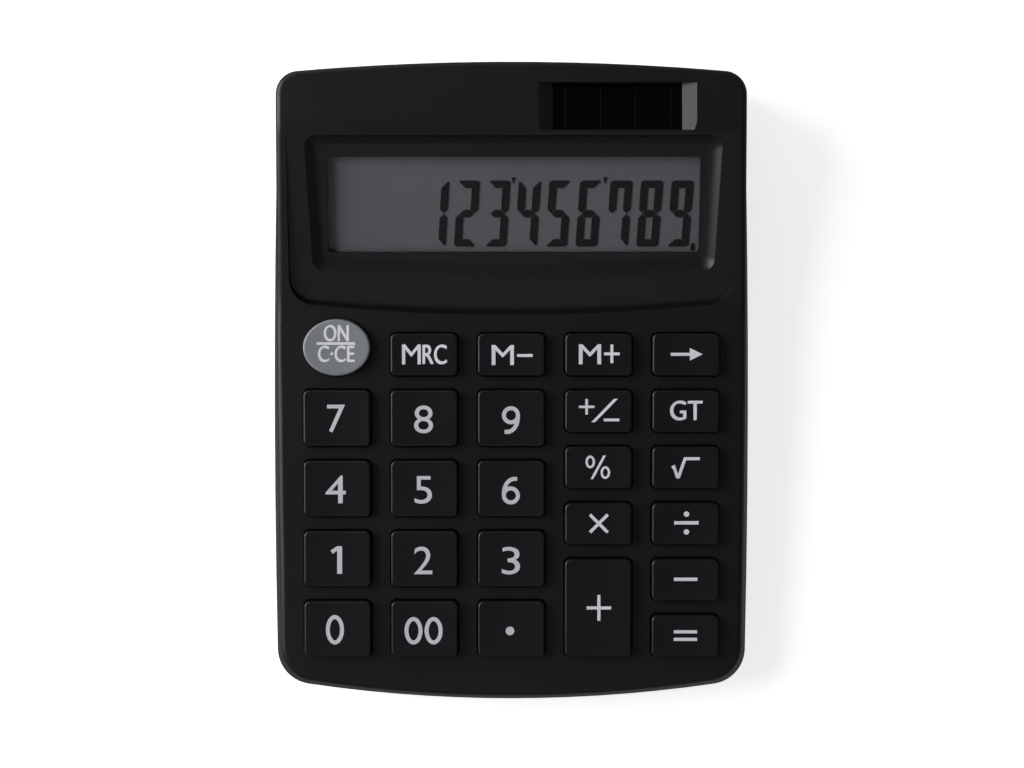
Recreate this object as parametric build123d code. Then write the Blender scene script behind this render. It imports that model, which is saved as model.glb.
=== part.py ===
"""Desk calculator: a wedge-shaped two-shell case, 26 sprung keys, a display, a solar cell and a button cell.

The frame is the calculator lying on a table. +Z is up, +Y points away from the user towards the display,
and the origin is the middle of the footprint at table height. All sizes are in millimetres.
"""
from build123d import *
import math
import os

# ---------------------------------------------------------------- overall case
WIDTH = 105.0
LENGTH = 140.0
FRONT_HEIGHT = 12.0          # table to deck surface at the front edge
DECK_ANGLE = 3.35            # tilt of the keypad deck towards the user, degrees
SHOULDER_ANGLE = 14.0        # tilt of the case beside the display
REAR_ANGLE = 3.0             # fall of the solar band behind the crown
CROWN_SETBACK = 15.0         # rear edge to the crown line
DISPLAY_DEPTH = 38.0         # crown line to the fold where the deck ends
FOLD_RADIUS = 50.0
CROWN_RADIUS = 12.0
WALL = 2.0
PART_LINE = 7.5              # height of the bottom shell's rim
PART_GAP = 0.35              # shadow gap between the two shells
FOOT_STAND = 1.0             # how far the feet hold the case off the table

# plan outline
SIDE_BULGE = 0.85
FRONT_BOW = 4.3
REAR_BOW = 2.4
FRONT_CORNER = 8.0
REAR_CORNER = 6.0
LEAN_FRONT = 5.6             # how far the walls lean in over LEAN_HEIGHT
LEAN_REAR = 1.2
LEAN_HEIGHT = 20.0
BELLY = 2.4                  # how far the bottom shell tucks in below the rim
SHOULDER_ROUND = 1.2
BELLY_ROUND = 1.2

# ---------------------------------------------------------------- keys
KEY_MARGIN_SIDE = 7.2        # case side to the outer column
KEY_MARGIN_FRONT = 10.0      # case front to the lowest row
KEY_MARGIN_FOLD = 6.2        # top row to the fold
KEY_GAP_X = 4.4
KEY_GAP_Y = 3.1
COLUMNS = 5
FUNCTION_ROWS = 6
DIGIT_ROWS = 4
KEY_CLEARANCE = 0.22
KEY_RISE = 2.2
KEY_WALL = 1.2
KEY_ROOF = 1.3
KEY_CORNER = 1.2
KEY_EDGE = 0.45
KEY_DISH = 0.25              # depth of the finger hollow
KEY_FLANGE = 0.7
KEY_FLANGE_THICK = 1.0
KEY_SEAT = 0.05              # flange to the underside of the deck
KEY_POST_RADIUS = 1.8
CLEAR_KEY_EXTRA = 3.1        # the oval key is this much taller than a function key
DECK = 2.0
OPENING_BREAK = 0.12         # broken edge round each key opening

# ---------------------------------------------------------------- switch layers, measured down from the deck
POST_END = 4.0
DOME_HEIGHT = 1.6
DOME_SHEET = 0.8
DOME_BASE = 3.3
DOME_TOP = 2.0
DOME_WALL = 0.8
PILL_RADIUS = 1.0
PILL_THICK = 0.45
PAD_RADIUS = 2.1
PAD_THICK = 0.1
BOARD = 1.2
BOARD_MARGIN_SIDE = 8.5      # case side to board edge
BOARD_MARGIN_FRONT = 10.2
BOARD_MARGIN_FOLD = 2.0
BOARD_CORNER = 3.0
SHEET_MARGIN = 3.2           # board rear edge to sheet edge, where the ribbon lands
BOARD_BOSS_RADIUS = 1.7
BOSS_CLEARANCE = 0.3

# ---------------------------------------------------------------- display
DISPLAY_ANGLE = 17.0
DISPLAY_TOP_OFFSET = 1.0     # crown line to where the display plane leaves the case
DISPLAY_SHIFT = 0.45         # the window and its recess lie this far right of the case's middle
DISH_LENGTH = 39.9           # along the slope
DISH_SIDE_REAR = 4.1         # case side to the dish floor at its rear
DISH_SIDE_FRONT = 4.4
DISH_FRONT_BOW = 2.6
DISH_CORNER = 5.5
DISH_WALL_SLOPE = 0.12       # wall run per unit of height
DISH_RISE = 5.0
BEZEL_SIDE_REAR = 3.4        # dish side to the recess round the window
BEZEL_SIDE_FRONT = 4.4
BEZEL_TOP = 0.9              # recess starts this far down the slope
BEZEL_FRONT = 7.3            # dish front to the recess
BEZEL_FRONT_BOW = 1.8
BEZEL_DEPTH = 1.4
BEZEL_RUN = 3.0              # width of the hollowed border between the recess's edge and its floor
BEZEL_CORNER = 2.6
BEZEL_FLOOR_CORNER = 0.9
BEZEL_STEPS = 4
WINDOW_SIDE = 1.65           # recess floor to window opening
WINDOW_TOP = 2.1
WINDOW_HEIGHT = 21.2
WINDOW_CORNER = 0.6
WINDOW_LEDGE = 0.7
LENS_LIP = 1.4
LENS = 1.0
LENS_CLEARANCE = 0.1
LENS_SHELF = 1.2             # depth of the rebate the lens sits in
GLASS = 2.2
GLASS_LIP = 1.5
GLASS_GAP = 0.3
HOLDER_WALL = 1.4
HOLDER_FLOOR = 1.0
HOLDER_EAR = 5.0
HOLDER_EAR_X = 30.0
HOOK_X = (-30.0, 0.0)
HOOK_WIDTH = 6.0
HOOK_WALL = 1.2
HOOK_TOE = 1.4
HOOK_GAP = 0.15

# ---------------------------------------------------------------- solar cell
SOLAR_SIDE = 15.8            # case side to the window
SOLAR_LENGTH = 27.8
SOLAR_WIDTH = 10.2
SOLAR_SETBACK = 5.6          # rear edge to the window
SOLAR_RAMP = 3.1
SOLAR_DEPTH = 1.4
SOLAR_LEDGE = 0.6
SOLAR_LIP = 1.2
SOLAR_CELL = 1.1
SOLAR_CLEARANCE = 0.15
SOLAR_PLATE = 1.2
SOLAR_EAR = 4.4
SOLAR_PLATE_FRONT = 3.6      # cell centre line to the plate's front edge

# ---------------------------------------------------------------- screws and feet
SCREW_RADIUS = 1.25
SCREW_LENGTH = 6.0
SCREW_HEAD_RADIUS = 2.3
SCREW_HEAD = 1.5
SCREW_DEPTH = 0.7            # head below the case bottom
SCREW_WEB = 1.2
SCREW_FIT = 0.05
SCREW_CLEARANCE = 0.25
BOSS_RADIUS = 2.6
BOSS_MEET = 6.0              # height where the two shells' bosses meet
BOSS_INSET_FRONT = 7.2       # case front to the two front screws, which sit between key columns
BOSS_INSET_REAR = 8.5
BOSS_REAR_SIDE = 7.0
BOSS_MIDDLE_SIDE = 6.5
SMALL_BOSS_RADIUS = 2.0
SMALL_SCREW_RADIUS = 0.95
SMALL_SCREW_LENGTH = 3.4
SMALL_HEAD_RADIUS = 1.75
SMALL_HEAD = 1.1
RIM_LIP = 1.6
RIM_THICK = 1.0
RIM_CLEARANCE = 0.15
FOOT_RADIUS = 4.5
FOOT_POCKET = 0.8
FOOT_CLEARANCE = 0.1
FOOT_INSET_SIDE = 14.0
FOOT_INSET_FRONT = 20.0
FOOT_INSET_REAR = 26.0

# ---------------------------------------------------------------- battery
CELL_RADIUS = 5.8
CELL_HEIGHT = 3.05
CELL_CLEARANCE = 0.3
BATTERY_SIDE = 30.5          # case side to the middle of the door
BATTERY_SETBACK = 21.0       # rear edge to the middle of the cell
DOOR_WIDTH = 20.0
DOOR_PANEL = 1.5
DOOR_REACH = 9.5             # cell centre to the closed end of the door
DOOR_CLEARANCE = 0.2
DOOR_TONGUE = 1.0
DOOR_TONGUE_THICK = 0.7
DOOR_LIP_HEIGHT = 3.6
DOOR_LIP = 2.2
GRIP_DEPTH = 0.3
GRIP_WIDTH = 0.8
GRIP_PITCH = 1.8
GRIP_COUNT = 5
BATTERY_WALL = 1.2
CHAMBER_WALL = 2.2
CONTACT = 0.3
CONTACT_WIDTH = 3.6
SPRING_ROOM = 1.6
WIRE_RADIUS = 0.5
WIRE_HEIGHT = 7.4            # height of the wires' run along the case
WIRE_SPACING = 1.2
RIBBON = 0.2
RIBBON_WIDTH = 36.0
BLOB_RADIUS = 5.0
BLOB_HEIGHT = 1.3
CAPACITOR_RADIUS = 1.6
CAPACITOR_LENGTH = 5.5

# ---------------------------------------------------------------- derived places
HALF_WIDTH = WIDTH / 2
FRONT = -LENGTH / 2
REAR = LENGTH / 2
CROWN_Y = REAR - CROWN_SETBACK
FOLD_Y = CROWN_Y - DISPLAY_DEPTH
DECK_SLOPE = math.tan(math.radians(DECK_ANGLE))
SHOULDER_SLOPE = math.tan(math.radians(SHOULDER_ANGLE))
REAR_SLOPE = math.tan(math.radians(REAR_ANGLE))
FOLD_Z = FRONT_HEIGHT + (FOLD_Y - FRONT) * DECK_SLOPE
CROWN_Z = FOLD_Z + DISPLAY_DEPTH * SHOULDER_SLOPE
TOP_START = PART_LINE + PART_GAP
FLOOR_TOP = FOOT_STAND + WALL
SHEET_TOP = POST_END + DOME_HEIGHT
BOARD_TOP = SHEET_TOP + DOME_SHEET
BOARD_BOTTOM = BOARD_TOP + BOARD

PITCH_X = (WIDTH - 2 * KEY_MARGIN_SIDE + KEY_GAP_X) / COLUMNS
KEY_WIDTH = PITCH_X - KEY_GAP_X
KEYS_FRONT = FRONT + KEY_MARGIN_FRONT
KEYS_BACK = FOLD_Y - KEY_MARGIN_FOLD
FUNCTION_PITCH = (KEYS_BACK - KEYS_FRONT + KEY_GAP_Y) / FUNCTION_ROWS
FUNCTION_HEIGHT = FUNCTION_PITCH - KEY_GAP_Y
DIGIT_PITCH = (FUNCTION_ROWS - 1) * FUNCTION_PITCH / DIGIT_ROWS
DIGIT_HEIGHT = DIGIT_PITCH - KEY_GAP_Y

BOARD_HALF = HALF_WIDTH - BOARD_MARGIN_SIDE
BOARD_FRONT = FRONT + BOARD_MARGIN_FRONT
BOARD_BACK = FOLD_Y - BOARD_MARGIN_FOLD
SHEET_BACK = BOARD_BACK - SHEET_MARGIN
WIRE_END_Y = SHEET_BACK + SHEET_MARGIN / 4

DISH_REAR_HALF = HALF_WIDTH - DISH_SIDE_REAR
DISH_FRONT_HALF = HALF_WIDTH - DISH_SIDE_FRONT
BEZEL_REAR_HALF = DISH_REAR_HALF - BEZEL_SIDE_REAR
BEZEL_FRONT_HALF = DISH_FRONT_HALF - BEZEL_SIDE_FRONT
WINDOW_HALF = BEZEL_REAR_HALF - BEZEL_RUN - WINDOW_SIDE
WINDOW_Y = -(BEZEL_TOP + BEZEL_RUN + WINDOW_TOP + WINDOW_HEIGHT / 2)
LENS_TOP = -BEZEL_DEPTH - WINDOW_LEDGE
GLASS_TOP = LENS_TOP - LENS_SHELF
GLASS_BOTTOM = GLASS_TOP - GLASS
HOLDER_BOTTOM = GLASS_BOTTOM - HOLDER_FLOOR
GLASS_HALF = WINDOW_HALF + LENS_LIP + GLASS_LIP
GLASS_HEIGHT = WINDOW_HEIGHT + 2 * (LENS_LIP + GLASS_LIP)
HOLDER_HALF = GLASS_HALF + GLASS_GAP + HOLDER_WALL
HOLDER_HEIGHT = GLASS_HEIGHT + 2 * (GLASS_GAP + HOLDER_WALL)
HOLDER_FRONT = WINDOW_Y - HOLDER_HEIGHT / 2
HOLDER_REAR = WINDOW_Y + HOLDER_HEIGHT / 2

BATTERY_X = -HALF_WIDTH + BATTERY_SIDE
BATTERY_Y = REAR - BATTERY_SETBACK
DOOR_TOP = FOOT_STAND + DOOR_PANEL
CELL_BOTTOM = DOOR_TOP + DOOR_CLEARANCE
CELL_TOP = CELL_BOTTOM + CELL_HEIGHT
CHAMBER_TOP = CELL_TOP + SPRING_ROOM
CHAMBER_ROOF = CHAMBER_TOP + BATTERY_WALL
CHAMBER_HALF = DOOR_WIDTH / 2 + DOOR_CLEARANCE
CHAMBER_FRONT = BATTERY_Y - DOOR_REACH - DOOR_CLEARANCE
CELL_POCKET = CELL_RADIUS + CELL_CLEARANCE
CHAMBER_REAR = BATTERY_Y + CELL_POCKET + BATTERY_WALL + CONTACT_WIDTH / 2
TONGUE_BOTTOM = DOOR_TOP - DOOR_TONGUE_THICK

HEAD_TOP = FOOT_STAND + SCREW_DEPTH + SCREW_HEAD
PILLAR_RADIUS = SCREW_HEAD_RADIUS + SCREW_CLEARANCE + SCREW_WEB

FUNCTION_KEYS = [
    ("on", "mrc", "m_minus", "m_plus", "backspace"),
    (None, None, None, "sign", "total"),
    (None, None, None, "percent", "root"),
    (None, None, None, "multiply", "divide"),
    (None, None, None, "plus", "minus"),
    (None, None, None, None, "equals"),
]
DIGIT_KEYS = [("7", "8", "9"), ("4", "5", "6"), ("1", "2", "3"), ("0", "00", "point")]


def tilted(y, z, angle, x=0):
    """A plane through (x, y, z) whose local y runs up a slope of that many degrees, away from the user."""
    a = math.radians(angle)
    return Plane(origin=(x, y, z), x_dir=(1, 0, 0), z_dir=(0, -math.sin(a), math.cos(a)))


DECK_PLANE = tilted(0, FRONT_HEIGHT - FRONT * DECK_SLOPE, DECK_ANGLE)
DECK_STRETCH = 1 / math.cos(math.radians(DECK_ANGLE))
DISPLAY_Y = CROWN_Y - DISPLAY_TOP_OFFSET
DISPLAY_Z = CROWN_Z - DISPLAY_TOP_OFFSET * SHOULDER_SLOPE
DISPLAY_PLANE = tilted(DISPLAY_Y, DISPLAY_Z, DISPLAY_ANGLE, DISPLAY_SHIFT)
SOLAR_Y = REAR - SOLAR_SETBACK - SOLAR_WIDTH / 2
SOLAR_X = HALF_WIDTH - SOLAR_SIDE - SOLAR_LENGTH / 2
SOLAR_PLANE = tilted(SOLAR_Y, CROWN_Z - (SOLAR_Y - CROWN_Y) * REAR_SLOPE, -REAR_ANGLE)
SOLAR_TOP = -SOLAR_DEPTH - SOLAR_LEDGE
SOLAR_BACK = SOLAR_TOP - SOLAR_CELL
SOLAR_PAD = SOLAR_BACK - SOLAR_CLEARANCE


def column_x(column):
    """Centre of a key column; halves give the gaps between columns."""
    return (column - (COLUMNS - 1) / 2) * PITCH_X


def function_y(row):
    """Plan position of a function row's centre line."""
    return KEYS_BACK - FUNCTION_HEIGHT / 2 - row * FUNCTION_PITCH


def key_layout():
    """Every key as name -> (x, plan y, width, height, oval or not)."""
    keys = {}
    for row, names in enumerate(FUNCTION_KEYS):
        for column, name in enumerate(names):
            if name is not None:
                keys[name] = (column_x(column), function_y(row), KEY_WIDTH, FUNCTION_HEIGHT, False)
    x, y, width, height, _ = keys["plus"]
    keys["plus"] = (x, y - FUNCTION_PITCH / 2, width, height + FUNCTION_PITCH, False)
    x, y, width, height, _ = keys["on"]
    keys["on"] = (x, y + CLEAR_KEY_EXTRA / 2, width, height + CLEAR_KEY_EXTRA, True)
    for row, names in enumerate(DIGIT_KEYS):
        y = KEYS_BACK - FUNCTION_PITCH - DIGIT_HEIGHT / 2 - row * DIGIT_PITCH
        for column, name in enumerate(names):
            keys[name] = (column_x(column), y, KEY_WIDTH, DIGIT_HEIGHT, False)
    return keys


KEYS = key_layout()
BOARD_SCREWS = [
    (column_x(0.5), function_y(0)),
    (column_x(3.5), function_y(0)),
    (column_x(1.5), function_y(FUNCTION_ROWS / 2 - 0.5)),
    (column_x(2.5), function_y(FUNCTION_ROWS / 2 - 0.5)),
    (column_x(0.5), function_y(FUNCTION_ROWS - 1)),
    (column_x(3.5), function_y(FUNCTION_ROWS - 1)),
]
REAR_X = HALF_WIDTH - BOSS_REAR_SIDE
MIDDLE_X = HALF_WIDTH - BOSS_MIDDLE_SIDE
CASE_SCREWS = [
    (column_x(0.5), FRONT + BOSS_INSET_FRONT),
    (column_x(3.5), FRONT + BOSS_INSET_FRONT),
    (-MIDDLE_X, FOLD_Y),
    (MIDDLE_X, FOLD_Y),
    (-REAR_X, REAR - BOSS_INSET_REAR),
    (REAR_X, REAR - BOSS_INSET_REAR),
]
HOLDER_SCREW_Y = HOLDER_FRONT - HOLDER_EAR / 2
SOLAR_SCREW_X = SOLAR_LENGTH / 2 + SOLAR_LIP + SOLAR_EAR / 2
WIRE_X = {
    "solar_lead_plus": column_x(3.5) + SMALL_HEAD_RADIUS + WIRE_SPACING,
    "solar_lead_minus": column_x(3.5) - SMALL_HEAD_RADIUS - WIRE_SPACING,
    "battery_lead_plus": BATTERY_X - WIRE_SPACING,
    "battery_lead_minus": BATTERY_X + WIRE_SPACING,
}


def on_deck(x, y, down=0.0):
    """Location square to the deck, over plan position (x, y) and that far below the surface."""
    return DECK_PLANE * Location((x, y * DECK_STRETCH, -down))


def board_height(y, down):
    """Height above the table of a layer that far below the deck, at plan position y."""
    return FRONT_HEIGHT + (y - FRONT) * DECK_SLOPE - down * DECK_STRETCH


# ---------------------------------------------------------------- case shapes
def outline(z, inset, lean):
    """The plan outline at height z, moved in by inset, and by a share lean of the walls' full lean."""
    side_front = HALF_WIDTH - SIDE_BULGE - inset - lean * LEAN_FRONT
    side_rear = HALF_WIDTH - SIDE_BULGE - inset - lean * LEAN_REAR
    front = FRONT + inset + lean * LEAN_FRONT
    rear = REAR - inset - lean * LEAN_REAR
    corner_front = front + FRONT_BOW
    corner_rear = rear - REAR_BOW
    side_middle = (side_front + side_rear) / 2 + SIDE_BULGE
    edges = [
        ThreePointArc((-side_front, corner_front), (0, front), (side_front, corner_front)),
        ThreePointArc((side_front, corner_front), (side_middle, 0), (side_rear, corner_rear)),
        ThreePointArc((side_rear, corner_rear), (0, rear), (-side_rear, corner_rear)),
        ThreePointArc((-side_rear, corner_rear), (-side_middle, 0), (-side_front, corner_front)),
    ]
    face = make_face(edges)
    shrink = inset + max(lean, 0) * LEAN_REAR
    face = fillet(face.vertices().sort_by(Axis.Y)[:2], max(FRONT_CORNER - shrink, WALL))
    return Pos(0, 0, z) * fillet(face.vertices().sort_by(Axis.Y)[-2:], max(REAR_CORNER - shrink, WALL))


def wall_block(inset, z_low, z_high):
    """The leaning block inside the top shell's walls between two heights."""
    low = outline(z_low, inset, (z_low - PART_LINE) / LEAN_HEIGHT)
    high = outline(z_high, inset, (z_high - PART_LINE) / LEAN_HEIGHT)
    return loft([low, high], ruled=True)


def belly_block(inset, z_low):
    """The tucked-in block inside the bottom shell's walls, from z_low to the rim."""
    tuck = BELLY * (PART_LINE - z_low) / (PART_LINE - FOOT_STAND)
    return loft([outline(z_low, inset + tuck, 0), outline(PART_LINE, inset, 0)], ruled=True)


def under_roof(drop):
    """Everything below the case's top surface, lowered by drop."""
    reach = LENGTH
    start = (FRONT - reach, FRONT_HEIGHT - reach * DECK_SLOPE - drop)
    fold = (FOLD_Y, FOLD_Z - drop)
    crown = (CROWN_Y, CROWN_Z - drop)
    end = (REAR + reach, CROWN_Z - (REAR + reach - CROWN_Y) * REAR_SLOPE - drop)
    roof = FilletPolyline(start, fold, crown, end, radius=[FOLD_RADIUS, CROWN_RADIUS])
    sides = Polyline(end, (end[0], -reach), (start[0], -reach), start)
    return extrude(Plane.YZ * make_face([roof, sides]), WIDTH, both=True)


def display_outline(z, rear_y, front_y, grow, bow, corner):
    """A face on the display slope whose sides follow the dish's taper, grown sideways and forwards."""
    taper = (DISH_REAR_HALF - DISH_FRONT_HALF) / DISH_LENGTH
    rear_half = DISH_REAR_HALF + rear_y * taper + grow
    front_half = DISH_REAR_HALF + (front_y + bow) * taper + grow
    arc = ThreePointArc((-front_half, front_y + bow), (0, front_y), (front_half, front_y + bow))
    side_y = front_y + bow
    rest = Polyline((front_half, side_y), (rear_half, rear_y), (-rear_half, rear_y), (-front_half, side_y))
    face = make_face([arc, rest])
    return DISPLAY_PLANE * Pos(-DISPLAY_SHIFT, 0, z) * fillet(face.vertices().sort_by(Axis.Y)[:2], corner)


def dish_block(grow, z_low, z_high):
    """The dish the display lies in: open behind the crown, with walls that lean out."""
    behind = CROWN_SETBACK
    faces = []
    for z in (z_low, z_high):
        spread = grow + z * DISH_WALL_SLOPE
        faces.append(display_outline(z, behind, -DISH_LENGTH - spread, spread, DISH_FRONT_BOW, DISH_CORNER))
    return loft(faces, ruled=True)


def bezel_outline(z, shrink):
    """The rounded recess round the window, shrunk on every side."""
    rear_y = -BEZEL_TOP - shrink
    front_y = -DISH_LENGTH + BEZEL_FRONT + shrink
    rear_half = BEZEL_REAR_HALF - shrink
    front_half = BEZEL_FRONT_HALF - shrink
    bow_y = front_y + BEZEL_FRONT_BOW
    arc = ThreePointArc((-front_half, bow_y), (0, front_y), (front_half, bow_y))
    rest = Polyline((front_half, bow_y), (rear_half, rear_y), (-rear_half, rear_y), (-front_half, bow_y))
    face = make_face([arc, rest])
    corner = BEZEL_CORNER - shrink * (BEZEL_CORNER - BEZEL_FLOOR_CORNER) / BEZEL_RUN
    return DISPLAY_PLANE * Pos(0, 0, z) * fillet(face.vertices(), corner)


def bezel_recess():
    """The recess round the window: steep at its edge, then hollowed out smoothly to its flat floor."""
    steepest = 2 * math.atan(BEZEL_DEPTH / BEZEL_RUN)
    radius = BEZEL_RUN / math.sin(steepest)
    faces = []
    for step in range(BEZEL_STEPS + 1):
        slope = steepest * step / BEZEL_STEPS
        z = radius * (1 - math.cos(slope)) - BEZEL_DEPTH
        faces.append(bezel_outline(z, BEZEL_RUN - radius * math.sin(slope)))
    return loft(faces)


def display_box(half, height, z_low, z_high, corner=0.0):
    """A plate on the display slope centred on the window."""
    face = RectangleRounded(2 * half, height, corner) if corner else Rectangle(2 * half, height)
    return DISPLAY_PLANE * Pos(0, WINDOW_Y, z_low) * extrude(face, z_high - z_low)


def solar_box(length, width, z_low, z_high):
    """A plate parallel to the solar band centred on the cell."""
    return SOLAR_PLANE * Pos(SOLAR_X, 0, z_low) * extrude(Rectangle(length, width), z_high - z_low)


def pillar(x, y, radius, z_low, z_high):
    """An upright round bar between two heights."""
    return Pos(x, y, z_low) * extrude(Circle(radius), z_high - z_low)


def slab(x_low, x_high, y_low, y_high, z_low, z_high):
    """A box given by its limits."""
    middle = ((x_low + x_high) / 2, (y_low + y_high) / 2, (z_low + z_high) / 2)
    return Pos(*middle) * Box(x_high - x_low, y_high - y_low, z_high - z_low)


# ---------------------------------------------------------------- keys
def key_face(name, grow):
    """A key's plan shape, grown on every side."""
    _, _, width, height, oval = KEYS[name]
    if oval:
        return Ellipse(width / 2 + grow, height / 2 + grow)
    return RectangleRounded(width + 2 * grow, height + 2 * grow, max(KEY_CORNER + grow, KEY_EDGE))


def key_opening(name):
    """The hole a key moves in, with a broken top edge."""
    x, y = KEYS[name][:2]
    hole = Pos(0, 0, -2 * DECK) * extrude(key_face(name, KEY_CLEARANCE), 3 * DECK)
    broken = Pos(0, 0, -OPENING_BREAK) * extrude(key_face(name, KEY_CLEARANCE), 2 * OPENING_BREAK, taper=-45)
    return on_deck(x, y) * (hole + broken)


def make_key(name):
    """A hollow keycap with a shallow finger hollow, retaining flanges and a post over its rubber dome."""
    x, y, width, height, _ = KEYS[name]
    foot = DECK + KEY_SEAT + KEY_FLANGE_THICK
    cap = Pos(0, 0, -foot) * extrude(key_face(name, 0), KEY_RISE + foot)
    hollow_radius = (width / 2) ** 2 / (2 * KEY_DISH)
    roll = Rot(90, 0, 0) * Cylinder(hollow_radius, 2 * height)
    cap -= Pos(0, 0, KEY_RISE - KEY_DISH + hollow_radius) * roll
    rim = [edge for edge in cap.edges() if edge.bounding_box().min.Z > KEY_RISE - 2 * KEY_DISH]
    cap = fillet(rim, KEY_EDGE)
    depth = KEY_RISE - KEY_DISH - KEY_ROOF + foot
    cap -= Pos(0, 0, -foot) * extrude(key_face(name, -KEY_WALL), depth)
    tongue = Rectangle(width / 2, height + 2 * KEY_FLANGE) - key_face(name, -KEY_WALL / 2)
    cap += Pos(0, 0, -foot) * extrude(tongue, KEY_FLANGE_THICK)
    cap += Pos(0, 0, -POST_END) * extrude(Circle(KEY_POST_RADIUS), POST_END + KEY_RISE - KEY_DISH - KEY_ROOF)
    return on_deck(x, y) * cap


# ---------------------------------------------------------------- shells
def deck_bosses():
    """Posts under the deck that the circuit board is screwed to, with their pilot holes."""
    bosses = []
    holes = []
    for x, y in BOARD_SCREWS:
        bosses.append(on_deck(x, y, BOARD_TOP) * extrude(Circle(BOARD_BOSS_RADIUS), BOARD_TOP - DECK / 2))
        depth = SMALL_SCREW_LENGTH - BOARD + SCREW_CLEARANCE
        holes.append(on_deck(x, y, BOARD_TOP) * extrude(Circle(SMALL_SCREW_RADIUS + SCREW_FIT), depth))
    return bosses, holes


def holder_bosses():
    """Posts for the display holder's and the solar plate's screws, with their pilot holes."""
    bosses = []
    holes = []
    hole = Circle(SMALL_SCREW_RADIUS + SCREW_FIT)
    depth = SMALL_SCREW_LENGTH - HOLDER_FLOOR + SCREW_CLEARANCE
    for side in (-1, 1):
        place = DISPLAY_PLANE * Pos(side * HOLDER_EAR_X, HOLDER_SCREW_Y, HOLDER_BOTTOM + HOLDER_FLOOR)
        bosses.append(place * extrude(Circle(SMALL_BOSS_RADIUS), -HOLDER_BOTTOM - HOLDER_FLOOR))
        holes.append(place * extrude(hole, depth))
        place = SOLAR_PLANE * Pos(SOLAR_X + side * SOLAR_SCREW_X, 0, SOLAR_PAD)
        bosses.append(place * extrude(Circle(SMALL_BOSS_RADIUS), -SOLAR_PAD))
        holes.append(place * extrude(hole, SMALL_SCREW_LENGTH - SOLAR_PLATE + SCREW_CLEARANCE))
    return bosses, holes


def holder_hooks():
    """Two hooks behind the display holder; its rear edge slides in over their toes."""
    hooks = []
    for x in HOOK_X:
        z_low = HOLDER_BOTTOM - HOOK_GAP - HOOK_WALL
        arm = Box(HOOK_WIDTH, HOOK_WALL, GLASS_TOP - z_low)
        arm = Pos(0, HOOK_GAP + HOOK_WALL / 2, (z_low + GLASS_TOP) / 2) * arm
        toe_length = HOOK_GAP + HOOK_WALL + HOOK_TOE
        toe = Box(HOOK_WIDTH, toe_length, HOOK_WALL)
        toe = Pos(0, toe_length / 2 - HOOK_TOE, z_low + HOOK_WALL / 2) * toe
        hooks.append(DISPLAY_PLANE * Pos(x, HOLDER_REAR, 0) * (arm + toe))
    return hooks


def make_top_case():
    """The upper shell with its keypad deck, display dish, solar channel, posts and screw bosses."""
    body = wall_block(0, TOP_START, PART_LINE + LEAN_HEIGHT) & under_roof(0)
    rim = []
    for edge in body.edges():
        flat = edge.geom_type == GeomType.LINE and edge.bounding_box().size.Y < 1e-3
        if edge.bounding_box().min.Z > TOP_START + WALL / 2 and not flat:
            rim.append(edge)
    body = fillet(rim, SHOULDER_ROUND)
    inside = wall_block(WALL, TOP_START - WALL, PART_LINE + LEAN_HEIGHT) & under_roof(WALL)
    shell = body - inside

    pads = [dish_block(WALL / 2, -WALL, DISH_RISE)]
    pads.append(extrude(bezel_outline(GLASS_TOP, -WALL), -GLASS_TOP, dir=DISPLAY_PLANE.z_dir))
    pocket_length = SOLAR_LENGTH + 2 * (SOLAR_LIP + SOLAR_CLEARANCE)
    pocket_width = SOLAR_WIDTH + 2 * (SOLAR_LIP + SOLAR_CLEARANCE)
    pads.append(solar_box(pocket_length + WALL, pocket_width + WALL, SOLAR_PAD, 0))
    for x, y in CASE_SCREWS:
        pads.append(pillar(x, y, BOSS_RADIUS, BOSS_MEET, CROWN_Z))
    deck_posts, deck_holes = deck_bosses()
    posts, holes = holder_bosses()
    roof = wall_block(WALL / 2, BOSS_MEET - WALL, PART_LINE + LEAN_HEIGHT) & under_roof(WALL / 2)
    for pad in pads + deck_posts + posts:
        shell += pad & roof
    for hook in holder_hooks():
        shell += hook

    cuts = [dish_block(0, 0, DISH_RISE)]
    cuts.append(bezel_recess())
    cuts.append(display_box(WINDOW_HALF, WINDOW_HEIGHT, GLASS_TOP - WALL, 0, WINDOW_CORNER))
    lens_half = WINDOW_HALF + LENS_LIP + LENS_CLEARANCE
    lens_height = WINDOW_HEIGHT + 2 * (LENS_LIP + LENS_CLEARANCE)
    cuts.append(display_box(lens_half, lens_height, GLASS_TOP - WALL, LENS_TOP, WINDOW_CORNER))
    channel = make_face(Polyline(
        (-SOLAR_LENGTH / 2, -SOLAR_DEPTH), (SOLAR_LENGTH / 2, -SOLAR_DEPTH),
        (SOLAR_LENGTH / 2 + 2 * SOLAR_RAMP, SOLAR_DEPTH), (-SOLAR_LENGTH / 2 - 2 * SOLAR_RAMP, SOLAR_DEPTH),
        (-SOLAR_LENGTH / 2, -SOLAR_DEPTH)))
    upright = SOLAR_PLANE * Pos(SOLAR_X, 0, 0) * Rot(90, 0, 0)
    cuts.append(upright * extrude(channel, SOLAR_WIDTH / 2, both=True))
    cuts.append(solar_box(SOLAR_LENGTH, SOLAR_WIDTH, SOLAR_PAD - WALL, 0))
    cuts.append(solar_box(pocket_length, pocket_width, SOLAR_PAD - WALL, SOLAR_TOP))
    for x, y in CASE_SCREWS:
        cuts.append(pillar(x, y, SCREW_RADIUS + SCREW_FIT, 0, HEAD_TOP + SCREW_LENGTH + SCREW_CLEARANCE))
    cuts += deck_holes + holes
    cuts += [key_opening(name) for name in KEYS]
    return shell - cuts


def bottom_block():
    """The bottom shell's outer shape, solid."""
    body = belly_block(0, FOOT_STAND)
    return fillet(body.edges().group_by(Axis.Z)[0], BELLY_ROUND)


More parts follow.
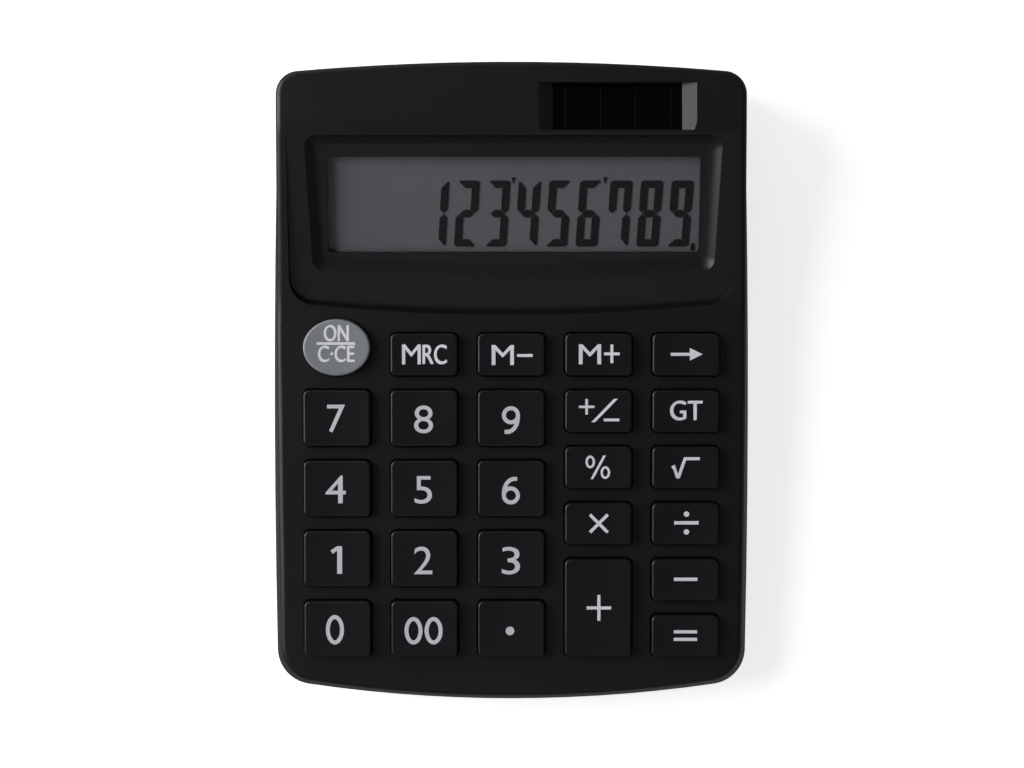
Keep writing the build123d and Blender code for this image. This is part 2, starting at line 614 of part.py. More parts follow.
def battery_chamber():
    """The walls round the button cell and the rails beside the door."""
    half = CHAMBER_HALF + CHAMBER_WALL
    front = CHAMBER_FRONT - BATTERY_WALL
    rear = CHAMBER_REAR + BATTERY_WALL
    outer = slab(BATTERY_X - half, BATTERY_X + half, front, rear, FOOT_STAND, CHAMBER_ROOF)
    ring = pillar(BATTERY_X, BATTERY_Y, CELL_POCKET + BATTERY_WALL, CELL_BOTTOM, CHAMBER_TOP)
    ring -= pillar(BATTERY_X, BATTERY_Y, CELL_POCKET, 0, CHAMBER_TOP)
    rail_top = DOOR_TOP + DOOR_PANEL
    rails = slab(BATTERY_X - half, BATTERY_X + half, front, REAR, FOOT_STAND, rail_top)
    left = BATTERY_X - CHAMBER_HALF
    right = BATTERY_X + CHAMBER_HALF
    rails -= slab(left, right, CHAMBER_FRONT, REAR, FOOT_STAND, rail_top)
    return outer - chamber_space() + ring, rails


def chamber_space():
    """The room above the door, before the cell's ring is added."""
    left = BATTERY_X - CHAMBER_HALF
    right = BATTERY_X + CHAMBER_HALF
    return slab(left, right, CHAMBER_FRONT, CHAMBER_REAR, 0, CHAMBER_TOP)


def door_openings():
    """The space the door slides in: its opening, its lip's notch and the grooves for its tongues."""
    left = BATTERY_X - CHAMBER_HALF
    right = BATTERY_X + CHAMBER_HALF
    beyond = REAR + CHAMBER_WALL
    lip_top = FOOT_STAND + DOOR_LIP_HEIGHT + DOOR_CLEARANCE
    groove_low = TONGUE_BOTTOM - DOOR_CLEARANCE
    groove_high = DOOR_TOP + DOOR_CLEARANCE
    return [
        slab(left, right, CHAMBER_FRONT, beyond, 0, CELL_BOTTOM),
        slab(left, right, CHAMBER_REAR + BATTERY_WALL, beyond, 0, lip_top),
        slab(left - DOOR_TONGUE, right + DOOR_TONGUE, CHAMBER_FRONT, beyond, groove_low, groove_high),
    ]


def make_bottom_case():
    """The lower shell with its rim lip, screw pillars, foot pockets and battery chamber."""
    body = bottom_block()
    shell = body - belly_block(WALL, FLOOR_TOP)
    inset = WALL + RIM_CLEARANCE
    lip = wall_block(inset, PART_LINE - RIM_LIP, PART_LINE + RIM_LIP)
    lip -= wall_block(inset + RIM_THICK, PART_LINE - 2 * RIM_LIP, PART_LINE + 2 * RIM_LIP)
    core = belly_block(WALL / 2, FOOT_STAND)
    for x, y in CASE_SCREWS:
        lip -= pillar(x, y, BOSS_RADIUS + BOSS_CLEARANCE, 0, CROWN_Z)
        post = pillar(x, y, PILLAR_RADIUS, FOOT_STAND, HEAD_TOP + SCREW_WEB)
        post += pillar(x, y, BOSS_RADIUS, FOOT_STAND, BOSS_MEET)
        shell += post & core
    chamber, rails = battery_chamber()
    shell = shell + lip - chamber_space()
    shell += chamber
    shell += rails & core
    cuts = door_openings()
    for x, y in CASE_SCREWS:
        cuts.append(pillar(x, y, SCREW_HEAD_RADIUS + SCREW_CLEARANCE, 0, HEAD_TOP))
        cuts.append(pillar(x, y, SCREW_RADIUS + SCREW_CLEARANCE, 0, BOSS_MEET))
    for x, y in foot_places():
        cuts.append(pillar(x, y, FOOT_RADIUS + FOOT_CLEARANCE, 0, FOOT_STAND + FOOT_POCKET))
    slot = CONTACT_WIDTH / 2 + CONTACT
    edge = BATTERY_Y + CELL_RADIUS
    far = edge + 2 * CONTACT
    cuts.append(slab(BATTERY_X - slot, BATTERY_X + slot, edge, far, CELL_BOTTOM, CHAMBER_ROOF))
    cuts.append(slab(BATTERY_X - slot, BATTERY_X + slot, edge - 4 * CONTACT, far, CHAMBER_TOP, CHAMBER_ROOF))
    end = CHAMBER_FRONT - 2 * BATTERY_WALL
    slot_low = CHAMBER_TOP - 2 * CONTACT
    cuts.append(slab(BATTERY_X - slot, BATTERY_X + slot, end, BATTERY_Y, slot_low, CHAMBER_TOP))
    return shell - cuts


def foot_places():
    """Plan positions of the four feet."""
    x = HALF_WIDTH - FOOT_INSET_SIDE
    front = FRONT + FOOT_INSET_FRONT
    rear = REAR - FOOT_INSET_REAR
    return [(-x, front), (x, front), (-x, rear), (x, rear)]


def make_feet():
    """Four round rubber feet set in pockets."""
    feet = []
    for x, y in foot_places():
        foot = pillar(x, y, FOOT_RADIUS, 0, FOOT_STAND + FOOT_POCKET)
        feet.append(fillet(foot.edges().group_by(Axis.Z)[0], FOOT_STAND / 2))
    return Compound(children=feet)


# ---------------------------------------------------------------- screws
def screw(radius, length, head_radius, head):
    """A pan-head screw pointing up, its head's seat at z = 0."""
    top = Pos(0, 0, -head) * extrude(Circle(head_radius), head)
    top = fillet(top.edges().group_by(Axis.Z)[0], head / 2)
    for turn in (0, 90):
        top -= Pos(0, 0, -head) * Rot(0, 0, turn) * Box(radius / 2, 1.2 * head_radius, head)
    shank = extrude(Circle(radius), length)
    return top + chamfer(shank.edges().group_by(Axis.Z)[-1], radius / 2)


def make_case_screws():
    """The six screws that join the shells from below."""
    one = screw(SCREW_RADIUS, SCREW_LENGTH, SCREW_HEAD_RADIUS, SCREW_HEAD)
    return Compound(children=[Pos(x, y, HEAD_TOP) * one for x, y in CASE_SCREWS])


def make_board_screws():
    """The six small screws that hold the circuit board under the deck."""
    one = screw(SMALL_SCREW_RADIUS, SMALL_SCREW_LENGTH, SMALL_HEAD_RADIUS, SMALL_HEAD)
    return Compound(children=[on_deck(x, y, BOARD_BOTTOM) * one for x, y in BOARD_SCREWS])


def make_holder_screws():
    """The four small screws of the display holder and the solar plate."""
    one = screw(SMALL_SCREW_RADIUS, SMALL_SCREW_LENGTH, SMALL_HEAD_RADIUS, SMALL_HEAD)
    screws = []
    for side in (-1, 1):
        screws.append(DISPLAY_PLANE * Pos(side * HOLDER_EAR_X, HOLDER_SCREW_Y, HOLDER_BOTTOM) * one)
        screws.append(SOLAR_PLANE * Pos(SOLAR_X + side * SOLAR_SCREW_X, 0, SOLAR_PAD - SOLAR_PLATE) * one)
    return Compound(children=screws)


# ---------------------------------------------------------------- display and solar cell
def make_window():
    """The clear lens in its rebate under the window edge."""
    half = WINDOW_HALF + LENS_LIP
    return display_box(half, WINDOW_HEIGHT + 2 * LENS_LIP, LENS_TOP - LENS, LENS_TOP, WINDOW_CORNER)


def make_glass():
    """The liquid-crystal panel."""
    return display_box(GLASS_HALF, GLASS_HEIGHT, GLASS_BOTTOM, GLASS_TOP)


def make_holder():
    """The tray that holds the panel up against the case, with two screwed ears."""
    tray = display_box(HOLDER_HALF, HOLDER_HEIGHT, HOLDER_BOTTOM, GLASS_TOP)
    tray -= display_box(GLASS_HALF + GLASS_GAP, GLASS_HEIGHT + 2 * GLASS_GAP, GLASS_BOTTOM, GLASS_TOP)
    tray -= display_box(GLASS_HALF - GLASS_HEIGHT / 4, GLASS_HEIGHT / 2, HOLDER_BOTTOM, GLASS_BOTTOM)
    notch = HOLDER_WALL + GLASS_GAP + 2 * GLASS_LIP
    hole = Circle(SMALL_SCREW_RADIUS + SCREW_CLEARANCE)
    opening = Pos(0, HOLDER_FRONT, HOLDER_BOTTOM + HOLDER_FLOOR / 2)
    tray -= DISPLAY_PLANE * opening * Box(RIBBON_WIDTH + 2 * GLASS_GAP, 2 * notch, HOLDER_FLOOR)
    for side in (-1, 1):
        ear = Pos(0, HOLDER_EAR / 4, HOLDER_FLOOR / 2) * Box(HOLDER_EAR, 1.5 * HOLDER_EAR, HOLDER_FLOOR)
        ear -= extrude(hole, HOLDER_FLOOR)
        tray += DISPLAY_PLANE * Pos(side * HOLDER_EAR_X, HOLDER_SCREW_Y, HOLDER_BOTTOM) * ear
    return tray


def make_ribbon():
    """The flat cable from the panel's front edge down to the circuit board."""
    lift = RIBBON / 2 + WIRE_RADIUS / 50
    under = GLASS_BOTTOM - lift
    start = DISPLAY_PLANE * Pos(0, HOLDER_FRONT + HOLDER_WALL + GLASS_GAP + GLASS_LIP, under)
    bend = DISPLAY_PLANE * Pos(0, HOLDER_FRONT - HOLDER_WALL, under)
    land = board_height(BOARD_BACK, BOARD_TOP - lift)
    end = SHEET_BACK + SHEET_MARGIN / 3
    points = [
        (0, start.position.Y, start.position.Z),
        (0, bend.position.Y, bend.position.Z),
        (0, BOARD_BACK + RIBBON, land + RIBBON * DECK_SLOPE),
        (0, end, board_height(end, BOARD_TOP - lift)),
    ]
    return strip(points, 1.0, RIBBON_WIDTH, RIBBON)


def make_solar_cell():
    """The solar cell in its pocket under the channel."""
    return solar_box(SOLAR_LENGTH + 2 * SOLAR_LIP, SOLAR_WIDTH + 2 * SOLAR_LIP, SOLAR_BACK, SOLAR_TOP)


def make_solar_plate():
    """The screwed plate that presses the solar cell into its pocket."""
    length = 2 * (SOLAR_SCREW_X + SOLAR_EAR / 2)
    rear = SOLAR_WIDTH / 2 + SOLAR_LIP / 2
    middle = (rear - SOLAR_PLATE_FRONT) / 2
    width = rear + SOLAR_PLATE_FRONT
    plate = Pos(SOLAR_X, middle, SOLAR_PAD - SOLAR_PLATE / 2) * Box(length, width, SOLAR_PLATE)
    pad = Pos(SOLAR_X, middle, (SOLAR_PAD + SOLAR_BACK) / 2) * Box(SOLAR_LENGTH, width - 1, SOLAR_CLEARANCE)
    plate += pad
    for side in (-1, 1):
        hole = Circle(SMALL_SCREW_RADIUS + SCREW_CLEARANCE)
        plate -= Pos(SOLAR_X + side * SOLAR_SCREW_X, 0, SOLAR_PAD - SOLAR_PLATE) * extrude(hole, SOLAR_PLATE)
    plate = SOLAR_PLANE * plate
    for name in ("solar_lead_plus", "solar_lead_minus"):
        plate -= pillar(WIRE_X[name], SOLAR_Y, 2 * WIRE_RADIUS, 0, CROWN_Z)
    return plate


# ---------------------------------------------------------------- circuit board and switches
def deck_plate(y_low, y_high, half, down, thickness, corner):
    """A plate parallel to the deck between two plan positions, its top that far below the surface."""
    length = (y_high - y_low) * DECK_STRETCH
    face = RectangleRounded(2 * half, length, corner)
    return on_deck(0, (y_low + y_high) / 2, down + thickness) * extrude(face, thickness)


def make_board():
    """The main circuit board with its screw and wire holes."""
    board = deck_plate(BOARD_FRONT, BOARD_BACK, BOARD_HALF, BOARD_TOP, BOARD, BOARD_CORNER)
    hole = Circle(SMALL_SCREW_RADIUS + SCREW_CLEARANCE)
    cuts = [on_deck(x, y, BOARD_BOTTOM) * extrude(hole, BOARD) for x, y in BOARD_SCREWS]
    for x in WIRE_X.values():
        cuts.append(pillar(x, WIRE_END_Y, WIRE_RADIUS + LENS_CLEARANCE, 0, CROWN_Z))
    return board - cuts


def make_contact_pads():
    """The carbon pads on the board, one under every key."""
    pads = []
    for x, y, *_ in KEYS.values():
        pads.append(on_deck(x, y, BOARD_TOP) * extrude(Circle(PAD_RADIUS), PAD_THICK))
    return Compound(children=pads)


def make_dome_sheet():
    """The rubber sheet with one hollow dome and contact pill under every key."""
    sheet = deck_plate(BOARD_FRONT, SHEET_BACK, BOARD_HALF, SHEET_TOP, DOME_SHEET, BOARD_CORNER)
    around = Circle(BOARD_BOSS_RADIUS + BOSS_CLEARANCE)
    cuts = [on_deck(x, y, BOARD_TOP) * extrude(around, BOARD) for x, y in BOARD_SCREWS]
    low = DOME_SHEET
    high = DOME_SHEET + DOME_HEIGHT
    outside = Pos(0, 0, low + DOME_HEIGHT / 2) * Cone(DOME_BASE, DOME_TOP, DOME_HEIGHT)
    profile = make_face(Polyline(
        (0, 0), (DOME_BASE - DOME_WALL, 0), (DOME_BASE - DOME_WALL, low),
        (DOME_TOP - DOME_WALL / 2, high - DOME_WALL),
        (PILL_RADIUS, high - DOME_WALL), (PILL_RADIUS, high - DOME_WALL - PILL_THICK),
        (0, high - DOME_WALL - PILL_THICK), (0, 0)))
    inside = revolve(Plane.XZ * profile, Axis.Z)
    domes = []
    for x, y, *_ in KEYS.values():
        domes.append(on_deck(x, y, BOARD_TOP) * outside)
        cuts.append(on_deck(x, y, BOARD_TOP) * inside)
    return sheet + domes - cuts


def make_controller():
    """The epoxy blob over the controller chip, under the board."""
    blob = extrude(Circle(BLOB_RADIUS), -BLOB_HEIGHT)
    blob = fillet(blob.edges().group_by(Axis.Z)[0], 0.8 * BLOB_HEIGHT)
    return on_deck(0, function_y(1), BOARD_BOTTOM) * blob


def make_capacitor():
    """The small round capacitor lying under the board."""
    body = Rot(0, 90, 0) * Cylinder(CAPACITOR_RADIUS, CAPACITOR_LENGTH)
    body = fillet(body.edges(), CAPACITOR_RADIUS / 4)
    down = BOARD_BOTTOM + CAPACITOR_RADIUS + WIRE_RADIUS / 10
    return on_deck(column_x(2.5) + BLOB_RADIUS, function_y(1), down) * body


# ---------------------------------------------------------------- battery
def make_cell():
    """The button cell, its smaller end cap upwards."""
    can = pillar(BATTERY_X, BATTERY_Y, CELL_RADIUS, CELL_BOTTOM, CELL_TOP - CELL_HEIGHT / 10)
    can = fillet(can.edges(), CELL_HEIGHT / 12)
    return can + pillar(BATTERY_X, BATTERY_Y, 0.8 * CELL_RADIUS, CELL_TOP - CELL_HEIGHT / 5, CELL_TOP)


def make_door():
    """The sliding battery door with side tongues, a lip in the rear wall and finger ribs."""
    body = bottom_block()
    half = DOOR_WIDTH / 2
    front = BATTERY_Y - DOOR_REACH
    panel = body & slab(BATTERY_X - half, BATTERY_X + half, front, REAR, FOOT_STAND - 1, DOOR_TOP)
    skin = body - belly_block(DOOR_LIP, FOOT_STAND)
    lip_top = FOOT_STAND + DOOR_LIP_HEIGHT
    lip = skin & slab(BATTERY_X - half, BATTERY_X + half, CHAMBER_REAR, REAR, FOOT_STAND - 1, lip_top)
    door = panel + lip
    reach = half + DOOR_TONGUE
    rear = REAR - BOSS_INSET_REAR
    door += slab(BATTERY_X - reach, BATTERY_X + reach, front + DOOR_TONGUE, rear, TONGUE_BOTTOM, DOOR_TOP)
    for index in range(GRIP_COUNT):
        y = rear - index * GRIP_PITCH
        width = half - DOOR_LIP
        low = FOOT_STAND - 1
        door -= slab(BATTERY_X - width, BATTERY_X + width, y - GRIP_WIDTH, y, low, FOOT_STAND + GRIP_DEPTH)
    return door


def strip(points, radius, width, thickness):
    """A flat strip bent along a path in the YZ plane."""
    path = FilletPolyline(*points, radius=radius)
    section = Plane(origin=path @ 0, x_dir=(1, 0, 0), z_dir=path % 0) * Rectangle(width, thickness)
    return sweep(section, path=path)


def make_plus_contact():
    """The strip that touches the cell's side and leads over the chamber roof."""
    y = BATTERY_Y + CELL_RADIUS + CONTACT / 2 + WIRE_RADIUS / 50
    roof = CHAMBER_ROOF + CONTACT / 2
    points = [(0, y, CELL_BOTTOM + CONTACT), (0, y, roof), (0, BATTERY_Y - CONTACT_WIDTH, roof)]
    return Pos(BATTERY_X, 0, 0) * strip(points, 2 * CONTACT, CONTACT_WIDTH, CONTACT)


def make_minus_contact():
    """The leaf that presses on the cell's top and leads out through the chamber front."""
    low = CELL_TOP + CONTACT / 2
    high = CHAMBER_TOP - CONTACT / 2
    points = [
        (0, BATTERY_Y + CONTACT_WIDTH / 2, low),
        (0, BATTERY_Y - CONTACT_WIDTH / 2, low),
        (0, BATTERY_Y - CONTACT_WIDTH, high),
        (0, CHAMBER_FRONT - BATTERY_WALL - CONTACT_WIDTH, high),
    ]
    return Pos(BATTERY_X, 0, 0) * strip(points, 2 * CONTACT, CONTACT_WIDTH, CONTACT)


def wire(x, points, radii):
    """A round wire bent along a path at a fixed x, ending through the circuit board."""
    end = board_height(WIRE_END_Y, BOARD_TOP)
    path_points = [(x, y, z) for y, z in points]
    path_points += [(x, WIRE_END_Y, WIRE_HEIGHT), (x, WIRE_END_Y, end - WIRE_RADIUS / 5)]
    path = FilletPolyline(*path_points, radius=radii)
    return sweep(Plane(origin=path @ 0, z_dir=path % 0) * Circle(WIRE_RADIUS), path=path)


def make_lead(name):
    """One of the four wires between the board and the power sources."""
    x = WIRE_X[name]
    if name.startswith("solar"):
        top = CROWN_Z - (SOLAR_Y - CROWN_Y) * REAR_SLOPE + SOLAR_BACK - WIRE_RADIUS / 5
        return wire(x, [(SOLAR_Y, top), (SOLAR_Y, WIRE_HEIGHT)], [3.0, 1.0])
    gap = WIRE_RADIUS + WIRE_RADIUS / 25
    if name == "battery_lead_plus":
        start = BATTERY_Y - CONTACT_WIDTH / 2
        height = CHAMBER_ROOF + CONTACT + gap
    else:
        start = CHAMBER_FRONT - BATTERY_WALL - WIRE_RADIUS
        height = CHAMBER_TOP + gap
    drop = CHAMBER_FRONT - BATTERY_WALL - 1.5 * CONTACT_WIDTH
    return wire(x, [(start, height), (drop, height), (drop - CONTACT_WIDTH, WIRE_HEIGHT)], [2.0, 2.0, 1.0])


def node_shapes():
    """Every piece of the calculator as node name -> shape, in place."""
    shapes = {
        "top_case": make_top_case(),
        "bottom_case": make_bottom_case(),
        "battery_door": make_door(),
        "display_window": make_window(),
        "display_glass": make_glass(),
        "display_holder": make_holder(),
        "display_ribbon": make_ribbon(),
        "solar_cell": make_solar_cell(),
        "solar_plate": make_solar_plate(),
        "circuit_board": make_board(),
        "contact_pads": make_contact_pads(),
        "dome_sheet": make_dome_sheet(),
        "controller": make_controller(),
        "capacitor": make_capacitor(),
        "battery_cell": make_cell(),
        "plus_contact": make_plus_contact(),
        "minus_contact": make_minus_contact(),
        "rubber_feet": make_feet(),
        "case_screws": make_case_screws(),
        "board_screws": make_board_screws(),
        "holder_screws": make_holder_screws(),
    }
    for name in KEYS:
        shapes["key_" + name] = make_key(name)
    for name in WIRE_X:
        shapes[name] = make_lead(name)
    return shapes


def main():
    """Write one STEP file per piece."""
    os.makedirs("parts", exist_ok=True)
    for name, shape in node_shapes().items():
        export_step(shape, f"parts/{name}.step")


if __name__ == "__main__":
    main()
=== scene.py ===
"""Looks of a desk calculator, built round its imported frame.

The frame gives every moulded piece in place. This script dresses them, prints the key legends, draws the
figures of the liquid-crystal panel, lines the solar cell, and sets up a small table-top studio.
"""
import logging
import math
from dataclasses import dataclass, field
from enum import Enum

import bpy
from mathutils import Matrix, Vector


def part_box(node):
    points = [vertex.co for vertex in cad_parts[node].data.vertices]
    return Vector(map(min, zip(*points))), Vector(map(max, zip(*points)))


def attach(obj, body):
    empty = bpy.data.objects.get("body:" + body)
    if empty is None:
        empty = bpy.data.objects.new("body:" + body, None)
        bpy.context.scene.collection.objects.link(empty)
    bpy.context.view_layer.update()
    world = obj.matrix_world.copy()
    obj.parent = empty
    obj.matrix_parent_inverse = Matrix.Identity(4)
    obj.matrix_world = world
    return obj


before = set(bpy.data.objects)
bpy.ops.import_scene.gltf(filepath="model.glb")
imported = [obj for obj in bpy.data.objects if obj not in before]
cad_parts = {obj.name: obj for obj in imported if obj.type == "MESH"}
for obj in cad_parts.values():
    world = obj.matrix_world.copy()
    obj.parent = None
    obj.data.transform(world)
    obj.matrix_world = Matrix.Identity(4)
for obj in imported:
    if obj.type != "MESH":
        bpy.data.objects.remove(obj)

LOG = logging.getLogger("calculator")
MM = 0.001
CASE_BODY = "case"


# ---- shader expressions
class Link:
    """A shader value that can be used in arithmetic."""

    def __init__(self, maker: "MaterialMaker", socket: bpy.types.NodeSocket) -> None:
        """Wraps a node's output.

        Args:
            maker: the material the node belongs to.
            socket: the output socket.
        """
        self.maker = maker
        self.socket = socket

    def _math(self, operation: str, first: "Link | float", second: "Link | float" = 0.0) -> "Link":
        """Adds one Math node.

        Args:
            operation: the Math node's operation.
            first: its first value.
            second: its second value.

        Returns:
            The node's result.
        """
        return self.maker.node("ShaderNodeMath", {"operation": operation}, {0: first, 1: second})

    def __add__(self, other: "Link | float") -> "Link":
        """Returns self + other."""
        return self._math("ADD", self, other)

    def __sub__(self, other: "Link | float") -> "Link":
        """Returns self - other."""
        return self._math("SUBTRACT", self, other)

    def __mul__(self, other: "Link | float") -> "Link":
        """Returns self * other."""
        return self._math("MULTIPLY", self, other)

    def above(self, edge: float) -> "Link":
        """Returns 1 where the value is over edge, else 0."""
        return self._math("GREATER_THAN", self, edge)

    def absolute(self) -> "Link":
        """Returns the value without its sign."""
        return self._math("ABSOLUTE", self)

    def wrapped(self, period: float) -> "Link":
        """Returns the value folded up and down between zero and half the period."""
        return self._math("PINGPONG", self, period / 2)


class MaterialMaker:
    """Builds one node material round a Principled shader."""

    def __init__(self, name: str) -> None:
        """Starts an empty node tree.

        Args:
            name: the material's name.
        """
        self.material = bpy.data.materials.new(name)
        self.material.use_nodes = True
        self.tree = self.material.node_tree
        self.tree.nodes.clear()
        self.shader = self.tree.nodes.new("ShaderNodeBsdfPrincipled")
        output = self.tree.nodes.new("ShaderNodeOutputMaterial")
        self.tree.links.new(self.shader.outputs[0], output.inputs["Surface"])

    def node(
        self, kind: str, settings: dict | None = None, values: dict | None = None, out: int | str = 0
    ) -> Link:
        """Adds any node.

        Args:
            kind: the node's type.
            settings: its own settings, set first.
            values: numbers, colours or links for its input sockets.
            out: the output wanted.

        Returns:
            That output.
        """
        made = self.tree.nodes.new(kind)
        for key, value in (settings or {}).items():
            setattr(made, key, value)
        for key, value in (values or {}).items():
            self._feed(made.inputs[key], value)
        return Link(self, made.outputs[out])

    def _feed(self, socket: bpy.types.NodeSocket, value: object) -> None:
        """Links or sets one input socket.

        Args:
            socket: the input.
            value: a link, a number, or a colour or vector.
        """
        if isinstance(value, Link):
            self.tree.links.new(value.socket, socket)
        elif isinstance(value, tuple) and socket.type == "RGBA":
            socket.default_value = (*value[:3], 1.0)
        else:
            socket.default_value = value

    def set(self, **sockets: object) -> None:
        """Feeds the Principled shader; words in a socket's name are joined by underscores."""
        for name, value in sockets.items():
            self._feed(self.shader.inputs[name.replace("_", " ")], value)

    def place(self) -> Link:
        """Returns the object coordinates."""
        return self.node("ShaderNodeTexCoord", out="Object")

    def noise(self, size_mm: float, detail: float = 2.0, roughness: float = 0.5) -> Link:
        """Adds a soft random pattern.

        Args:
            size_mm: the size of its patches.
            detail: octaves.
            roughness: how strong the finer octaves are.

        Returns:
            A value round one half.
        """
        values = {"Vector": self.place(), "Scale": 1 / (size_mm * MM)}
        values.update(Detail=detail, Roughness=roughness)
        return self.node("ShaderNodeTexNoise", {}, values)

    def axis(self, name: str) -> Link:
        """Returns one object coordinate, X, Y or Z, in metres."""
        return self.node("ShaderNodeSeparateXYZ", {}, {0: self.place()}, name)

    def mix(self, factor: Link, first: tuple | Link, second: tuple | Link) -> Link:
        """Mixes two colours.

        Args:
            factor: the share of the second.
            first: a colour.
            second: a colour.

        Returns:
            The mixed colour.
        """
        return self.node("ShaderNodeMix", {"data_type": "RGBA"}, {0: factor, 6: first, 7: second}, 2)

    def bump(self, height: Link, depth_mm: float) -> None:
        """Raises the surface by a pattern.

        Args:
            height: the pattern, 0 to 1.
            depth_mm: how far 1 stands above 0.
        """
        values = {"Height": height, "Distance": depth_mm * MM}
        self.set(Normal=self.node("ShaderNodeBump", {}, values))


# ---- finishes
@dataclass(frozen=True)
class MouldedPlastic:
    """Injection-moulded plastic with a spark-eroded grain.

    Attributes:
        name: the material's name.
        colour: its base colour.
        gloss: roughness at the middle of its range.
        grain_mm: size of the grain.
        depth_mm: depth of the grain.
        drift: how much the colour varies over the piece.
        shine: its specular level.
    """

    name: str
    colour: tuple[float, float, float]
    gloss: float = 0.5
    grain_mm: float = 0.22
    depth_mm: float = 0.008
    drift: float = 0.12
    shine: float = 0.5

    def make(self) -> bpy.types.Material:
        """Returns the finish as a material."""
        maker = MaterialMaker(self.name)
        grain = maker.noise(self.grain_mm, 2.0, 0.6)
        cloud = maker.noise(18.0, 3.0)
        darker = tuple(channel * (1 - self.drift) for channel in self.colour)
        lighter = tuple(channel * (1 + self.drift) for channel in self.colour)
        maker.set(Base_Color=maker.mix(cloud * 0.7 + grain * 0.3, darker, lighter))
        maker.set(Roughness=cloud * 0.08 + grain * 0.06 + (self.gloss - 0.07))
        maker.set(Specular_IOR_Level=self.shine)
        maker.bump(grain, self.depth_mm)
        return maker.material


@dataclass(frozen=True)
class PrintedInk:
    """Opaque pad-printed ink.

    Attributes:
        name: the material's name.
        colour: its colour.
        gloss: its roughness.
    """

    name: str
    colour: tuple[float, float, float]
    gloss: float = 0.45

    def make(self) -> bpy.types.Material:
        """Returns the finish as a material."""
        maker = MaterialMaker(self.name)
        mottle = maker.noise(0.35, 2.0)
        thin = tuple(channel * 0.93 for channel in self.colour)
        maker.set(Base_Color=maker.mix(mottle, thin, self.colour))
        maker.set(Roughness=mottle * 0.1 + (self.gloss - 0.05))
        maker.bump(mottle, 0.004)
        return maker.material


@dataclass(frozen=True)
class PanelGround:
    """The grey ground of a reflective liquid-crystal panel.

    Attributes:
        name: the material's name.
        colour: its colour.
    """

    name: str
    colour: tuple[float, float, float]

    def make(self) -> bpy.types.Material:
        """Returns the finish as a material."""
        maker = MaterialMaker(self.name)
        cloud = maker.noise(25.0, 2.0)
        speck = maker.noise(0.12, 1.0)
        dim = tuple(channel * 0.9 for channel in self.colour)
        bright = tuple(channel * 1.08 for channel in self.colour)
        maker.set(Base_Color=maker.mix(cloud * 0.6 + speck * 0.4, dim, bright))
        maker.set(Roughness=speck * 0.1 + 0.3)
        return maker.material


@dataclass(frozen=True)
class ClearWindow:
    """A clear polished lens.

    Attributes:
        name: the material's name.
        cover: how much of what lies behind is hidden.
    """

    name: str
    cover: float = 0.1

    def make(self) -> bpy.types.Material:
        """Returns the finish as a material."""
        maker = MaterialMaker(self.name)
        smear = maker.noise(14.0, 3.0)
        maker.set(Base_Color=(0.006, 0.006, 0.007), Roughness=smear * 0.06 + 0.05, Specular_IOR_Level=0.3)
        maker.set(Alpha=smear * 0.04 + (self.cover - 0.02))
        maker.material.surface_render_method = "BLENDED"
        return maker.material


@dataclass(frozen=True)
class SolarFilm:
    """The dark film of an amorphous solar cell under glass, with thin lines between its strips.

    Attributes:
        name: the material's name.
        centre_m: where the strips are counted from, along X.
        strip_m: the width of one strip.
        line_m: the width of a dividing line.
    """

    name: str
    centre_m: float
    strip_m: float
    line_m: float = 0.00022

    def make(self) -> bpy.types.Material:
        """Returns the finish as a material."""
        maker = MaterialMaker(self.name)
        along = (maker.axis("X") - self.centre_m).wrapped(self.strip_m * 2)
        line = (along - (self.strip_m / 2)).absolute()
        film = line.above(self.line_m / 2)
        cloud = maker.noise(6.0, 2.0)
        tone = maker.mix(cloud, (0.0008, 0.0009, 0.0009), (0.0012, 0.0014, 0.0013))
        maker.set(Base_Color=maker.mix(film, (0.0022, 0.0024, 0.0023), tone))
        maker.set(Roughness=cloud * 0.06 + 0.12, Specular_IOR_Level=0.12)
        maker.bump(film, 0.01)
        return maker.material


@dataclass(frozen=True)
class Rubber:
    """Matte moulded rubber.

    Attributes:
        name: the material's name.
        colour: its colour.
    """

    name: str
    colour: tuple[float, float, float]

    def make(self) -> bpy.types.Material:
        """Returns the finish as a material."""
        maker = MaterialMaker(self.name)
        grain = maker.noise(0.3, 3.0, 0.6)
        dusty = tuple(min(1.0, channel * 1.5 + 0.004) for channel in self.colour)
        maker.set(Base_Color=maker.mix(maker.noise(4.0, 3.0), self.colour, dusty))
        maker.set(Roughness=grain * 0.15 + 0.75)
        maker.bump(grain, 0.015)
        return maker.material


@dataclass(frozen=True)
class PlatedMetal:
    """Plated or bare metal with fine drawn marks.

    Attributes:
        name: the material's name.
        colour: its colour.
        gloss: its roughness.
    """

    name: str
    colour: tuple[float, float, float]
    gloss: float = 0.3

    def make(self) -> bpy.types.Material:
        """Returns the finish as a material."""
        maker = MaterialMaker(self.name)
        marks = maker.noise(0.4, 4.0, 0.7)
        worn = tuple(channel * 0.8 for channel in self.colour)
        maker.set(Base_Color=maker.mix(marks, worn, self.colour), Metallic=1.0)
        maker.set(Roughness=marks * 0.2 + (self.gloss - 0.1))
        maker.bump(marks, 0.003)
        return maker.material


